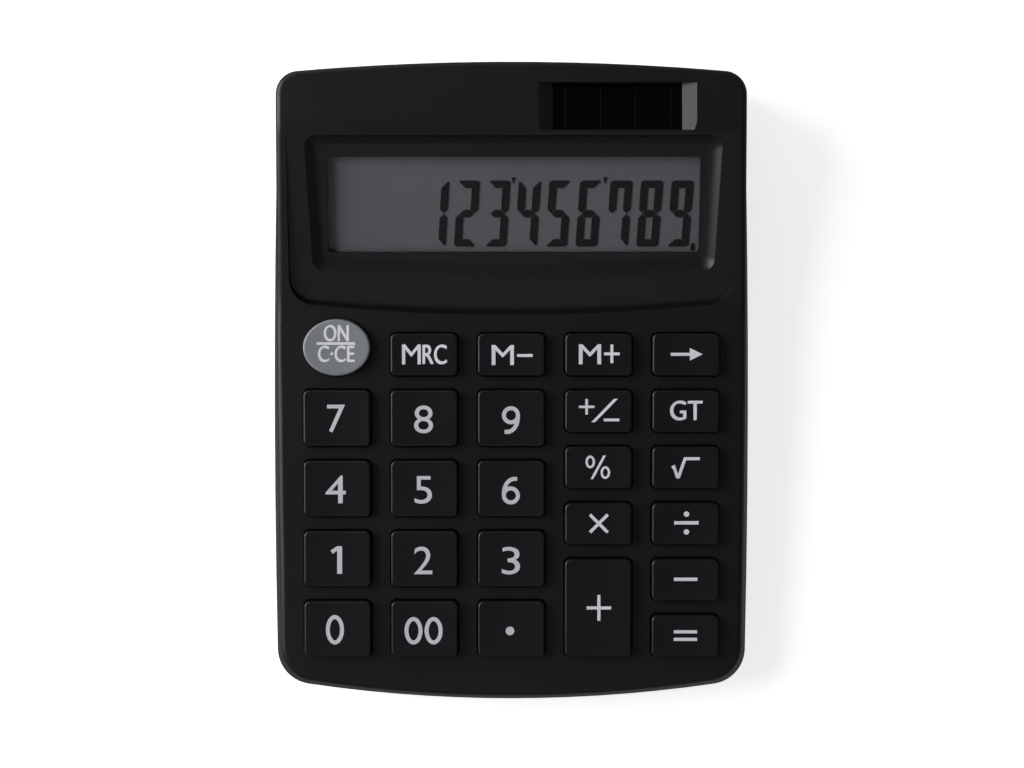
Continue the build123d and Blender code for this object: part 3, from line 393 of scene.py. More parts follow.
@dataclass(frozen=True)
class BoardLacquer:
    """Green solder resist over the traces of a circuit board.

    Attributes:
        name: the material's name.
        pitch_m: distance between traces.
    """

    name: str
    pitch_m: float = 0.0016

    def make(self) -> bpy.types.Material:
        """Returns the finish as a material."""
        maker = MaterialMaker(self.name)
        wander = maker.noise(9.0, 1.0) * (4 * self.pitch_m)
        trace = (maker.axis("X") + wander).wrapped(self.pitch_m).above(self.pitch_m / 4)
        maker.set(Base_Color=maker.mix(trace, (0.012, 0.07, 0.03), (0.02, 0.12, 0.05)))
        maker.set(Roughness=maker.noise(1.0) * 0.1 + 0.25)
        maker.bump(trace, 0.03)
        return maker.material


class Finish(Enum):
    """Every finish on the calculator."""

    CASE_BLACK = MouldedPlastic("case_black_plastic", (0.0055, 0.0055, 0.0064), 0.4, 0.25, 0.008, shine=0.45)
    KEY_BLACK = MouldedPlastic("key_black_plastic", (0.0052, 0.0053, 0.0062), 0.36, 0.16, 0.004, shine=0.45)
    KEY_GREY = MouldedPlastic("key_grey_plastic", (0.262, 0.276, 0.29), 0.42, 0.16, 0.004)
    LEGEND_INK = PrintedInk("legend_ink", (0.76, 0.76, 0.8))
    FUNCTION_INK = PrintedInk("function_ink", (0.95, 0.95, 0.99))
    FIGURE_DARK = PrintedInk("figure_dark", (0.002, 0.002, 0.0025), 0.5)
    PANEL_GROUND = PanelGround("panel_ground", (0.202, 0.205, 0.224))
    WINDOW_CLEAR = ClearWindow("window_clear")
    WHITE_PLASTIC = MouldedPlastic("white_plastic", (0.7, 0.7, 0.67), 0.45, 0.3, 0.006)
    CABLE_FILM = MouldedPlastic("cable_film", (0.5, 0.33, 0.1), 0.3, 1.0, 0.003)
    CARBON = Rubber("printed_carbon", (0.012, 0.012, 0.012))
    DOME_RUBBER = Rubber("dome_rubber", (0.3, 0.3, 0.31))
    FOOT_RUBBER = Rubber("foot_rubber", (0.012, 0.012, 0.012))
    EPOXY = MouldedPlastic("epoxy", (0.008, 0.008, 0.008), 0.2, 2.0, 0.02)
    SLEEVE = MouldedPlastic("capacitor_sleeve", (0.015, 0.02, 0.08), 0.25, 1.0, 0.002)
    CELL_STEEL = PlatedMetal("cell_steel", (0.62, 0.61, 0.59), 0.3)
    CONTACT_METAL = PlatedMetal("contact_metal", (0.66, 0.63, 0.55), 0.28)
    SCREW_STEEL = PlatedMetal("screw_steel", (0.4, 0.4, 0.41), 0.35)
    WIRE_RED = MouldedPlastic("wire_red", (0.4, 0.015, 0.015), 0.35, 0.6, 0.003)
    WIRE_BLACK = MouldedPlastic("wire_black", (0.012, 0.012, 0.012), 0.35, 0.6, 0.003)
    BOARD = BoardLacquer("board_lacquer")


class Wardrobe:
    """Makes each finish once and puts it on pieces."""

    def __init__(self) -> None:
        """Starts with nothing made."""
        self.made: dict[str, bpy.types.Material] = {}

    def dress(self, piece: bpy.types.Object, finish: object) -> None:
        """Gives a piece one finish all over.

        Args:
            piece: the object.
            finish: a member of Finish, or a finish of its own.
        """
        recipe = finish.value if isinstance(finish, Finish) else finish
        if recipe.name not in self.made:
            self.made[recipe.name] = recipe.make()
        piece.data.materials.clear()
        piece.data.materials.append(self.made[recipe.name])


# ---- modelling helpers
def deselect() -> None:
    """Leaves object mode with nothing selected."""
    if bpy.context.mode != "OBJECT":
        bpy.ops.object.mode_set(mode="OBJECT")
    bpy.ops.object.select_all(action="DESELECT")


def activate(piece: bpy.types.Object) -> None:
    """Selects one object alone and makes it active."""
    deselect()
    piece.select_set(True)
    bpy.context.view_layer.objects.active = piece


def apply_modifier(piece: bpy.types.Object, kind: str, **settings: object) -> None:
    """Adds a modifier and applies it.

    Args:
        piece: the object.
        kind: the modifier's type.
        settings: the modifier's settings.
    """
    activate(piece)
    modifier = piece.modifiers.new(kind.title(), kind)
    for key, value in settings.items():
        setattr(modifier, key, value)
    bpy.ops.object.modifier_apply(modifier=modifier.name)


def join(pieces: list[bpy.types.Object], name: str) -> bpy.types.Object:
    """Joins objects into one.

    Args:
        pieces: the objects; the first one is kept.
        name: the joined object's name.

    Returns:
        The joined object.
    """
    deselect()
    for piece in pieces:
        piece.select_set(True)
    bpy.context.view_layer.objects.active = pieces[0]
    if len(pieces) > 1:
        bpy.ops.object.join()
    pieces[0].name = name
    pieces[0].data.name = name
    return pieces[0]


def set_place(piece: bpy.types.Object, place: Matrix) -> None:
    """Moves a piece's mesh and leaves its object at the origin.

    Args:
        piece: the object.
        place: where its own frame goes.
    """
    piece.data.transform(place @ piece.matrix_world)
    piece.matrix_world = Matrix.Identity(4)
    piece.data.update()


def face_outwards(piece: bpy.types.Object) -> None:
    """Recalculates a closed piece's normals."""
    activate(piece)
    bpy.ops.object.mode_set(mode="EDIT")
    bpy.ops.mesh.select_all(action="SELECT")
    bpy.ops.mesh.normals_make_consistent(inside=False)
    bpy.ops.object.mode_set(mode="OBJECT")


def unite(first: bpy.types.Object, second: bpy.types.Object) -> None:
    """Unites two flat pieces in the plane z = 0, as thick plates that are thinned again.

    Args:
        first: the piece that is kept.
        second: the piece that is used up.
    """
    for plate in (first, second):
        apply_modifier(plate, "SOLIDIFY", thickness=MM, offset=0.0)
        face_outwards(plate)
    apply_modifier(first, "BOOLEAN", object=second, operation="UNION", solver="EXACT")
    bpy.data.objects.remove(second)
    activate(first)
    bpy.ops.object.mode_set(mode="EDIT")
    bpy.ops.mesh.select_mode(type="FACE")
    bpy.ops.mesh.select_all(action="DESELECT")
    bpy.ops.object.mode_set(mode="OBJECT")
    for face in first.data.polygons:
        face.select = face.normal.z < 0.5
    bpy.ops.object.mode_set(mode="EDIT")
    bpy.ops.mesh.delete(type="FACE")
    bpy.ops.object.mode_set(mode="OBJECT")
    first.data.transform(Matrix.Translation((0, 0, -MM / 2)))


def flat_bar(length: float, thick: float, steps: int, rounding: float) -> bpy.types.Object:
    """A flat bar along X, centred on the origin, its corners rounded.

    Args:
        length: its length in metres.
        thick: its height in metres.
        steps: pieces along its length, so that it can follow a hollow.
        rounding: corner radius.

    Returns:
        The bar.
    """
    deselect()
    bpy.ops.mesh.primitive_grid_add(x_subdivisions=steps, y_subdivisions=1, size=1.0)
    bar = bpy.context.active_object
    bar.data.transform(Matrix.Diagonal((length, thick, 1.0, 1.0)))
    bpy.ops.object.mode_set(mode="EDIT")
    bpy.ops.mesh.select_all(action="DESELECT")
    bpy.ops.object.mode_set(mode="OBJECT")
    for vertex in bar.data.vertices:
        vertex.select = abs(abs(vertex.co.x) - length / 2) < length / 100
    bpy.ops.object.mode_set(mode="EDIT")
    bpy.ops.mesh.bevel(offset=rounding, segments=2, affect="VERTICES")
    bpy.ops.object.mode_set(mode="OBJECT")
    return bar


# ---- key legends
@dataclass(frozen=True)
class Lettering:
    """Letters or figures of a key legend, sizes in millimetres.

    Attributes:
        text: what it says.
        width: its width.
        height: its height.
        right: its centre, to the right of the key's.
        up: its centre, above the key's.
        spread: how much upright strokes are thickened to each side; level ones gain half of it.
    """

    text: str
    width: float
    height: float
    right: float = 0.0
    up: float = 0.0
    spread: float = 0.0

    def draw(self) -> list[bpy.types.Object]:
        """Returns the letters as one flat mesh."""
        deselect()
        bpy.ops.object.text_add()
        letters = bpy.context.active_object
        letters.data.body = self.text
        letters.data.resolution_u = 6
        bpy.ops.object.convert(target="MESH")
        letters = bpy.context.active_object
        corners = [vertex.co for vertex in letters.data.vertices]
        low = Vector((min(c.x for c in corners), min(c.y for c in corners), 0))
        high = Vector((max(c.x for c in corners), max(c.y for c in corners), 0))
        size = high - low
        centre = (low + high) / 2
        width = (self.width - 2 * self.spread) * MM
        scale = Matrix.Diagonal((width / size.x, (self.height - self.spread) * MM / size.y, 1.0, 1.0))
        shift = Matrix.Translation(((self.right - self.spread) * MM, (self.up - self.spread / 2) * MM, 0))
        set_place(letters, shift @ scale @ Matrix.Translation(-centre))
        if self.spread:
            twin = letters.copy()
            twin.data = letters.data.copy()
            bpy.context.scene.collection.objects.link(twin)
            twin.data.transform(Matrix.Translation((2 * self.spread * MM, self.spread * MM, 0)))
            unite(letters, twin)
        return [letters]


@dataclass(frozen=True)
class Bar:
    """A straight stroke of a key legend, sizes in millimetres.

    Attributes:
        length: its length.
        thick: its thickness.
        right: its centre, to the right of the key's.
        up: its centre, above the key's.
    """

    length: float
    thick: float = 0.66
    right: float = 0.0
    up: float = 0.0

    def draw(self) -> list[bpy.types.Object]:
        """Returns the bar as one flat mesh."""
        bar = flat_bar(self.length * MM, self.thick * MM, max(1, round(self.length)), 0.08 * MM)
        set_place(bar, Matrix.Translation((self.right * MM, self.up * MM, 0)))
        return [bar]


@dataclass(frozen=True)
class Slash:
    """A slanting stroke with level ends, sizes in millimetres.

    Attributes:
        height: its height.
        run: how far its top lies right of its foot.
        thick: its width measured level.
        right: its centre, to the right of the key's.
        up: its centre, above the key's.
    """

    height: float
    run: float
    thick: float
    right: float = 0.0
    up: float = 0.0

    def draw(self) -> list[bpy.types.Object]:
        """Returns the stroke as one flat mesh."""
        deselect()
        bpy.ops.mesh.primitive_grid_add(x_subdivisions=1, y_subdivisions=5, size=1.0)
        stroke = bpy.context.active_object
        slant = Matrix.Diagonal((self.thick * MM, self.height * MM, 1.0, 1.0))
        slant[0][1] = self.run * MM
        set_place(stroke, Matrix.Translation((self.right * MM, self.up * MM, 0)) @ slant)
        return [stroke]


@dataclass(frozen=True)
class Cross:
    """Two equal strokes that cross, sizes in millimetres.

    Attributes:
        width: the level stroke's length.
        height: the upright stroke's length.
        thick: their thickness.
        right: the crossing, to the right of the key's centre.
        up: the crossing, above the key's centre.
        turn: how far the cross is turned, in degrees.
    """

    width: float
    height: float
    thick: float = 0.66
    right: float = 0.0
    up: float = 0.0
    turn: float = 0.0

    def draw(self) -> list[bpy.types.Object]:
        """Returns the cross as one flat mesh: a square whose four sides are drawn out."""
        deselect()
        bpy.ops.mesh.primitive_plane_add(size=self.thick * MM)
        cross = bpy.context.active_object
        half = self.thick * MM / 2
        for axis, reach in ((0, self.width), (1, self.height)):
            pull = (reach * MM - 2 * half) * 0.25
            for side in (1, -1):
                self._draw_out(cross, axis, side, half, pull)
                self._draw_out(cross, axis, side, half + pull, pull)
        place = Matrix.Translation((self.right * MM, self.up * MM, 0))
        set_place(cross, place @ Matrix.Rotation(math.radians(self.turn), 4, "Z"))
        return [cross]

    def _draw_out(self, cross: bpy.types.Object, axis: int, side: int, edge: float, pull: float) -> None:
        """Extrudes the edge that lies at a distance along an axis.

        Args:
            cross: the mesh.
            axis: 0 for X, 1 for Y.
            side: 1 or -1.
            edge: the edge's distance from the crossing.
            pull: how far it is moved on.
        """
        activate(cross)
        bpy.ops.object.mode_set(mode="EDIT")
        bpy.ops.mesh.select_mode(type="EDGE")
        bpy.ops.mesh.select_all(action="DESELECT")
        bpy.ops.object.mode_set(mode="OBJECT")
        near = self.thick * MM / 100
        for line in cross.data.edges:
            ends = [cross.data.vertices[index].co for index in line.vertices]
            level = all(abs(end[axis] - side * edge) < near for end in ends)
            line.select = level and abs(ends[0][1 - axis] + ends[1][1 - axis]) < near
        bpy.ops.object.mode_set(mode="EDIT")
        move = [0.0, 0.0, 0.0]
        move[axis] = side * pull
        bpy.ops.mesh.extrude_region_move(TRANSFORM_OT_translate={"value": move})
        bpy.ops.object.mode_set(mode="OBJECT")


@dataclass(frozen=True)
class Dot:
    """A round spot of a key legend, sizes in millimetres.

    Attributes:
        radius: its radius.
        right: its centre, to the right of the key's.
        up: its centre, above the key's.
    """

    radius: float
    right: float = 0.0
    up: float = 0.0

    def draw(self) -> list[bpy.types.Object]:
        """Returns the spot as one flat mesh."""
        deselect()
        bpy.ops.mesh.primitive_circle_add(vertices=28, radius=self.radius * MM, fill_type="NGON")
        spot = bpy.context.active_object
        set_place(spot, Matrix.Translation((self.right * MM, self.up * MM, 0)))
        return [spot]


@dataclass(frozen=True)
class Ribbon:
    """A stroke that follows corners, sizes in millimetres.

    Attributes:
        path: the corners of its centre line, from the key's centre.
        widths: its full width at each corner, measured across.
    """

    path: tuple[tuple[float, float], ...]
    widths: tuple[float, ...]

    def draw(self) -> list[bpy.types.Object]:
        """Returns the stroke as one flat mesh: a strip whose columns are moved to the corners."""
        deselect()
        count = len(self.path)
        bpy.ops.mesh.primitive_grid_add(x_subdivisions=count - 1, y_subdivisions=1, size=2.0)
        strip = bpy.context.active_object
        points = [Vector(point) for point in self.path]
        for vertex in strip.data.vertices:
            index = round((vertex.co.x + 1) / 2 * (count - 1))
            before = points[max(index - 1, 0)]
            after = points[min(index + 1, count - 1)]
            arrive = (points[index] - before).normalized() if index else (after - points[index]).normalized()
            leave = (after - points[index]).normalized() if index < count - 1 else arrive
            across = Vector((-(arrive + leave).y, (arrive + leave).x)).normalized()
            stretch = max(across.dot(Vector((-arrive.y, arrive.x))), 0.3)
            offset = across * (self.widths[index] / 2 / stretch) * (1 if vertex.co.y > 0 else -1)
            vertex.co = (*((points[index] + offset) * MM), 0.0)
        return [strip]


@dataclass(frozen=True)
class Joined:
    """Two strokes of a key legend made one.

    Attributes:
        first: one stroke.
        second: the stroke that runs into it.
    """

    first: Ribbon
    second: Ribbon

    def draw(self) -> list[bpy.types.Object]:
        """Returns both strokes as one flat mesh."""
        whole = self.first.draw()[0]
        unite(whole, self.second.draw()[0])
        return [whole]


@dataclass(frozen=True)
class Ring:
    """An oval ring of even thickness, sizes in millimetres.

    Attributes:
        width: its outer width.
        height: its outer height.
        thick: its stroke.
        right: its centre, to the right of the key's.
        up: its centre, above the key's.
    """

    width: float
    height: float
    thick: float
    right: float = 0.0
    up: float = 0.0

    def draw(self) -> list[bpy.types.Object]:
        """Returns the ring as one flat mesh: a round plate, inset, with its middle taken out."""
        deselect()
        bpy.ops.mesh.primitive_circle_add(vertices=36, radius=0.5, fill_type="NGON")
        ring = bpy.context.active_object
        scale = Matrix.Diagonal((self.width * MM, self.height * MM, 1.0, 1.0))
        set_place(ring, Matrix.Translation((self.right * MM, self.up * MM, 0)) @ scale)
        activate(ring)
        bpy.ops.object.mode_set(mode="EDIT")
        bpy.ops.mesh.select_mode(type="FACE")
        bpy.ops.mesh.select_all(action="SELECT")
        bpy.ops.mesh.inset(thickness=self.thick * MM)
        bpy.ops.mesh.delete(type="FACE")
        bpy.ops.object.mode_set(mode="OBJECT")
        return [ring]


@dataclass(frozen=True)
class TailedFigure:
    """A nine, or a six when turned: a round bowl with a curved tail, sizes in millimetres.

    Attributes:
        width: its width.
        height: its height.
        thick: its stroke.
        right: its centre, to the right of the key's.
        up: its centre, above the key's.
        turned: whether it stands on its head, as a six.
    """

    width: float
    height: float
    thick: float
    right: float = 0.0
    up: float = 0.0
    turned: bool = False

    def draw(self) -> list[bpy.types.Object]:
        """Returns the figure as one flat mesh, its bowl and tail united."""
        bowl = Ring(self.width, self.width, self.thick, 0.0, (self.height - self.width) / 2).draw()[0]
        side = (self.width - self.thick) / 2
        foot = -(self.height - self.thick) / 2
        middle = (self.height - self.width) / 2
        shares = ((1.0, 0.0), (0.97, 0.25), (0.84, 0.5), (0.58, 0.73), (0.2, 0.9), (-0.3, 0.99), (-0.9, 1.0))
        path = tuple((side * across, middle + (foot - middle) * down) for across, down in shares)
        tail = Ribbon(path, (self.thick,) * len(path)).draw()[0]
        unite(bowl, tail)
        spin = Matrix.Rotation(math.pi if self.turned else 0.0, 4, "Z")
        set_place(bowl, Matrix.Translation((self.right * MM, self.up * MM, 0)) @ spin)
        return [bowl]


FIGURE_HEIGHT = 6.05
LETTER_SPREAD = 0.1
M_SPREAD = 0.05
CAPITAL_HEIGHT = 4.35
FIGURE_THICK = 0.88
KEY_LEGENDS: dict[str, tuple] = {
    "7": (Lettering("7", 3.9, FIGURE_HEIGHT, -0.16, 0.02),),
    "8": (Lettering("8", 4.15, FIGURE_HEIGHT, -0.12, -0.15),),
    "9": (TailedFigure(3.95, FIGURE_HEIGHT, FIGURE_THICK, -0.08, -0.3),),
    "4": (Lettering("4", 4.45, FIGURE_HEIGHT, -0.3, -0.05, M_SPREAD),),
    "5": (Lettering("5", 3.8, FIGURE_HEIGHT, -0.2, -0.15),),
    "6": (TailedFigure(3.95, FIGURE_HEIGHT, FIGURE_THICK, -0.1, -0.3, True),),
    "1": (
        Joined(
            Ribbon(((0.5, 2.93), (0.5, -3.13)), (1.1, 1.1)),
            Ribbon(((-1.25, 1.62), (0.1, 2.53)), (0.85, 0.85)),
        ),
    ),
    "2": (Lettering("2", 4.0, FIGURE_HEIGHT, -0.25, -0.2),),
    "3": (Lettering("3", 4.0, FIGURE_HEIGHT, -0.1, -0.25),),
    "0": (Ring(3.98, 6.5, FIGURE_THICK, -0.6, -0.02),),
    "00": (
        Ring(3.95, FIGURE_HEIGHT, FIGURE_THICK, -2.4, -0.25),
        Ring(3.95, FIGURE_HEIGHT, FIGURE_THICK, 2.0, -0.25),
    ),
    "point": (Dot(0.95, -0.3, -0.3),),
    "on": (
        Lettering("ON", 5.5, 3.65, -0.03, 3.2, LETTER_SPREAD),
        Bar(8.4, 0.58, -0.12, 0.94),
        Lettering("C·CE", 8.0, 3.65, -0.05, -1.3, LETTER_SPREAD),
    ),
    "mrc": (
        Lettering("M", 4.1, CAPITAL_HEIGHT, -2.72, 0.14, M_SPREAD),
        Lettering("RC", 5.35, CAPITAL_HEIGHT, 2.34, 0.14, LETTER_SPREAD),
    ),
    "m_minus": (Lettering("M", 4.85, CAPITAL_HEIGHT, -1.85, 0.0, M_SPREAD), Bar(3.4, 0.64, 2.95, -0.1)),
    "m_plus": (
        Lettering("M", 4.85, CAPITAL_HEIGHT, -1.9, 0.15, M_SPREAD),
        Cross(3.45, 4.0, 0.64, 2.85, 0.25),
    ),
    "backspace": (
        Ribbon(((-3.35, 0.15), (0.8, 0.15)), (0.66, 0.66)),
        Ribbon(((0.8, 0.15), (3.55, 0.15)), (2.75, 0.05)),
    ),
    "sign": (Cross(3.4, 3.4, 0.56, -2.6, 1.05), Slash(5.1, 4.95, 0.86, 1.3, 0.25), Bar(3.45, 0.6, 2.8, -1.8)),
    "total": (Lettering("GT", 7.1, CAPITAL_HEIGHT, 0.1, 0.25, LETTER_SPREAD),),
    "percent": (
        Ring(2.1, 2.8, 0.52, -1.8, 1.35),
        Ring(2.1, 2.8, 0.52, 1.5, -0.98),
        Slash(5.15, 2.75, 0.6, -0.05, 0.18),
    ),
    "root": (
        Ribbon(
            ((-3.05, 0.1), (-2.55, 0.32), (-1.82, -1.9), (-1.52, -1.9), (-0.15, 2.05), (3.1, 2.05)),
            (0.55, 0.62, 0.66, 0.66, 0.66, 0.66),
        ),
    ),
    "multiply": (Cross(5.5, 5.5, 0.68, 0.1, 0.2, 45.0),),
    "divide": (Bar(5.35, 0.74, 0.22, 0.35), Dot(0.6, 0.22, 2.25), Dot(0.6, 0.22, -1.65)),
    "minus": (Bar(5.15, 0.74, 0.1, 0.28),),
    "equals": (Bar(5.1, 0.7, 0.1, 1.05), Bar(5.1, 0.7, 0.1, -0.6)),
    "plus": (Cross(5.35, 5.65, 0.7, 0.15, 0.15),),
}


@dataclass
class KeyPad:
    """The 26 keycaps and what is printed on them.

    Attributes:
        wardrobe: the finishes.
        tilt: the keypad's slope in degrees.
        skirt: from a key's top down to its flange's foot.
        ink_thick: the ink's thickness.
        ink_sink: how far the ink is pressed into the plastic.
        printed: the legends once they are made.
    """

    wardrobe: Wardrobe
    tilt: float = 3.35
    skirt: float = 5.25 * MM
    ink_thick: float = 0.045 * MM
    ink_sink: float = 0.015 * MM
    printed: list[bpy.types.Object] = field(default_factory=list)

    def build(self) -> None:
        """Dresses the keycaps and prints their legends."""
        for name in KEY_LEGENDS:
            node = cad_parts["key_" + name]
            self.wardrobe.dress(node, Finish.KEY_GREY if name == "on" else Finish.KEY_BLACK)
            self.printed.append(self._print_legend(name, node))
        LOG.info("keypad: %d legends", len(self.printed))

    def _print_legend(self, name: str, node: bpy.types.Object) -> bpy.types.Object:
        """Lays one legend on its key.

        Args:
            name: the key's name.
            node: its keycap.

        Returns:
            The legend.
        """
        low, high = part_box("key_" + name)
        centre = (Vector(low) + Vector(high)) / 2
        centre.y -= self.skirt * math.sin(math.radians(self.tilt))
        strokes = [piece for mark in KEY_LEGENDS[name] for piece in mark.draw()]
        legend = join(strokes, "legend_" + name)
        activate(legend)
        bpy.ops.object.mode_set(mode="EDIT")
        bpy.ops.mesh.select_all(action="SELECT")
        bpy.ops.mesh.remove_doubles(threshold=0.002 * MM)
        bpy.ops.object.mode_set(mode="OBJECT")
        set_place(legend, Matrix.Translation((centre.x, centre.y, high[2] + MM)))
        wrap = {"target": node, "wrap_method": "PROJECT", "use_negative_direction": True}
        wrap.update(use_positive_direction=False, use_project_z=True, offset=0.0)
        apply_modifier(legend, "SHRINKWRAP", **wrap)
        legend.data.transform(Matrix.Translation((0, 0, -self.ink_sink)))
        apply_modifier(legend, "SOLIDIFY", thickness=self.ink_thick + self.ink_sink, offset=1.0)
        bpy.ops.object.shade_flat()
        figure = name in "0 1 2 3 4 5 6 7 8 9 00 point".split()
        self.wardrobe.dress(legend, Finish.LEGEND_INK if figure else Finish.FUNCTION_INK)
        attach(legend, "key_" + name)
        return legend


# ---- display
class Segment(Enum):
    """The seven strokes of a display figure."""

    TOP = "a"
    TOP_RIGHT = "b"
    LOW_RIGHT = "c"
    BOTTOM = "d"
    LOW_LEFT = "e"
    TOP_LEFT = "f"
    MIDDLE = "g"


FIGURE_STROKES = {
    "1": "bc",
    "2": "abdeg",
    "3": "abcdg",
    "4": "bcfg",
    "5": "acdfg",
    "6": "acdefg",
    "7": "abcf",
    "8": "abcdefg",
    "9": "abcdfg",
}
TICK_CORNERS = ((-0.5, 0.5), (0.5, 0.5), (0.3, 0.0), (0.05, -0.5), (-0.05, -0.5), (-0.3, 0.0))
POINT_CORNERS = ((-0.5, 0.5), (0.5, 0.5), (0.5, 0.0), (0.5, -0.5), (-0.5, -0.5), (-0.5, 0.0))


@dataclass
class DisplayUnit:
    """The liquid-crystal panel, its figures and the clear window over them.

    Attributes:
        wardrobe: the finishes.
        tilt: the panel's slope in degrees.
        figures: what the panel shows.
        figure_width: a figure's width.
        figure_height: a figure's height along the slope.
        stroke: a stroke's thickness.
        gap: the gap between strokes.
        pitch: from one figure to the next.
        last_x: the last figure's centre.
        middle_y: the figures' centre, in plan.
        slant: how far a figure leans, per unit of height.
        lift: the figures' height over the panel.
        tick_after: the figures that a group tick follows, counted from 0.
        tick_share: how far past its figure a tick stands, as a share of the pitch.
        tick_width: a tick's width.
        tick_height: a tick's height.
        point_width: the decimal mark's width.
        point_height: the decimal mark's height.
        thick: the thickness of every mark.
        shown: the marks once they are made.
    """

    wardrobe: Wardrobe
    tilt: float = 17.0
    figures: str = "123456789"
    figure_width: float = 4.85 * MM
    figure_height: float = 14.75 * MM
    stroke: float = 1.7 * MM
    gap: float = 0.07 * MM
    pitch: float = 6.63 * MM
    last_x: float = 36.3 * MM
    middle_y: float = 36.8 * MM
    slant: float = 0.062
    lift: float = 0.1 * MM
    tick_after: tuple[int, ...] = (2, 5)
    tick_share: float = 0.46
    tick_width: float = 0.95 * MM
    tick_height: float = 1.4 * MM
    point_width: float = 0.85 * MM
    point_height: float = 1.6 * MM
    thick: float = 0.03 * MM
    shown: list[bpy.types.Object] = field(default_factory=list)

    def build(self) -> None:
        """Dresses the panel and window and draws the figures."""
        self.wardrobe.dress(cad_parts["display_glass"], Finish.PANEL_GROUND)
        self.wardrobe.dress(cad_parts["display_window"], Finish.WINDOW_CLEAR)
        place = self._panel_place()
        first_x = self.last_x - self.pitch * (len(self.figures) - 1)
        for index, figure in enumerate(self.figures):
            strokes = [self._stroke(Segment(letter)) for letter in FIGURE_STROKES[figure]]
            piece = join(strokes, f"display_figure_{index}")
            self._finish(piece, place, first_x + index * self.pitch)
        half = self.figure_height / 2
        for index in self.tick_after:
            tick = self._outline(TICK_CORNERS, self.tick_width, self.tick_height, 0.0, half)
            piece = join([tick], f"display_tick_{index}")
            self._finish(piece, place, first_x + (index + self.tick_share) * self.pitch)
        dot = self._outline(POINT_CORNERS, self.point_width, self.point_height, 0.0, -half)
        self._finish(join([dot], "display_point"), place, self.last_x + self.pitch / 2)
        LOG.info("display: %d figures and marks", len(self.shown))

    def _panel_place(self) -> Matrix:
        """Returns the panel's top face: its centre, with Y up the slope."""
        low, high = (Vector(corner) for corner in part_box("display_glass"))
        size = high - low
        slope = math.radians(self.tilt)
        lengths = Matrix(((math.cos(slope), math.sin(slope)), (math.sin(slope), math.cos(slope)))).inverted()
        _, thick = lengths @ Vector((size.y, size.z))
        turn = Matrix.Rotation(slope, 4, "X")
        middle = (low + high) / 2
        face = Matrix.Translation(middle) @ turn @ Matrix.Translation((0, 0, thick / 2 + self.lift))
        shift = (self.middle_y - (face @ Vector((0, 0, 0))).y) / math.cos(slope)
        return face @ Matrix.Translation((0, shift, 0))

    def _outline(self, corners: tuple, width: float, height: float, x: float, y: float) -> bpy.types.Object:
        """A flat six-cornered patch.

        Args:
            corners: its corners as shares of its width and height.
            width: its width.
            height: its height.
            x: its centre.
            y: its centre.

        Returns:
            The patch.
        """
        deselect()
        bpy.ops.mesh.primitive_circle_add(vertices=len(corners), radius=1.0, fill_type="NGON")
        patch = bpy.context.active_object
        for vertex, (across, along) in zip(patch.data.vertices, corners):
            vertex.co = (x + across * width, y + along * height, 0.0)
        return patch

    def _stroke(self, segment: Segment) -> bpy.types.Object:
        """One stroke of a figure centred on the origin.

        Args:
            segment: which of the seven.

        Returns:
            The stroke.
        """
        half_w = self.figure_width / 2
        half_h = self.figure_height / 2
        stroke = self.stroke
        half = stroke / 2
        nick = 0.2 * stroke
        gap = self.gap
        if segment is Segment.MIDDLE:
            reach = half_w - half - gap
            upper = ((-reach, 0), (-reach + half, half), (reach - half, half))
            lower = ((reach, 0), (reach - half, -half), (-reach + half, -half))
            return self._patch(upper + lower)
        if segment in (Segment.TOP, Segment.BOTTOM):
            side = 1 if segment is Segment.TOP else -1
            cut = stroke / 4
            reach = half_w - gap
            rim = side * half_h
            shoulder = side * (half_h - nick)
            inside = side * (half_h - stroke)
            right = ((reach - cut, rim), (reach - nick, shoulder), (reach - stroke, inside))
            left = ((-reach + stroke, inside), (-reach + nick, shoulder))
            return self._patch(((-reach + cut, rim),) + right + left)
        side = 1 if segment in (Segment.TOP_RIGHT, Segment.LOW_RIGHT) else -1
        level = 1 if segment in (Segment.TOP_RIGHT, Segment.TOP_LEFT) else -1
        outer = side * half_w
        inner = side * (half_w - stroke)
        middle = side * (half_w - half)
        far = half_h - gap
        near = level * (gap + half)
        outside = ((outer, level * (far - nick)), (outer, near), (middle, level * gap))
        inside = ((inner, near), (inner, level * (far - stroke)))
        tip = (side * (half_w - nick), level * (far - 0.1 * stroke))
        return self._patch(outside + inside + (tip,))

    def _patch(self, corners: tuple) -> bpy.types.Object:
        """A flat patch with corners in metres."""
        return self._outline(corners, 1.0, 1.0, 0.0, 0.0)

    def _finish(self, piece: bpy.types.Object, place: Matrix, x: float) -> None:
        """Slants a flat piece, lays it on the panel and gives it thickness.

        Args:
            piece: the piece.
            place: the panel's place.
            x: the piece's centre.
        """
        lean = Matrix.Identity(4)
        lean[0][1] = self.slant
        set_place(piece, place @ Matrix.Translation((x, 0, 0)) @ lean)
        apply_modifier(piece, "SOLIDIFY", thickness=self.thick, offset=0.0)
        face_outwards(piece)
        self.wardrobe.dress(piece, Finish.FIGURE_DARK)
        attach(piece, CASE_BODY)
        self.shown.append(piece)


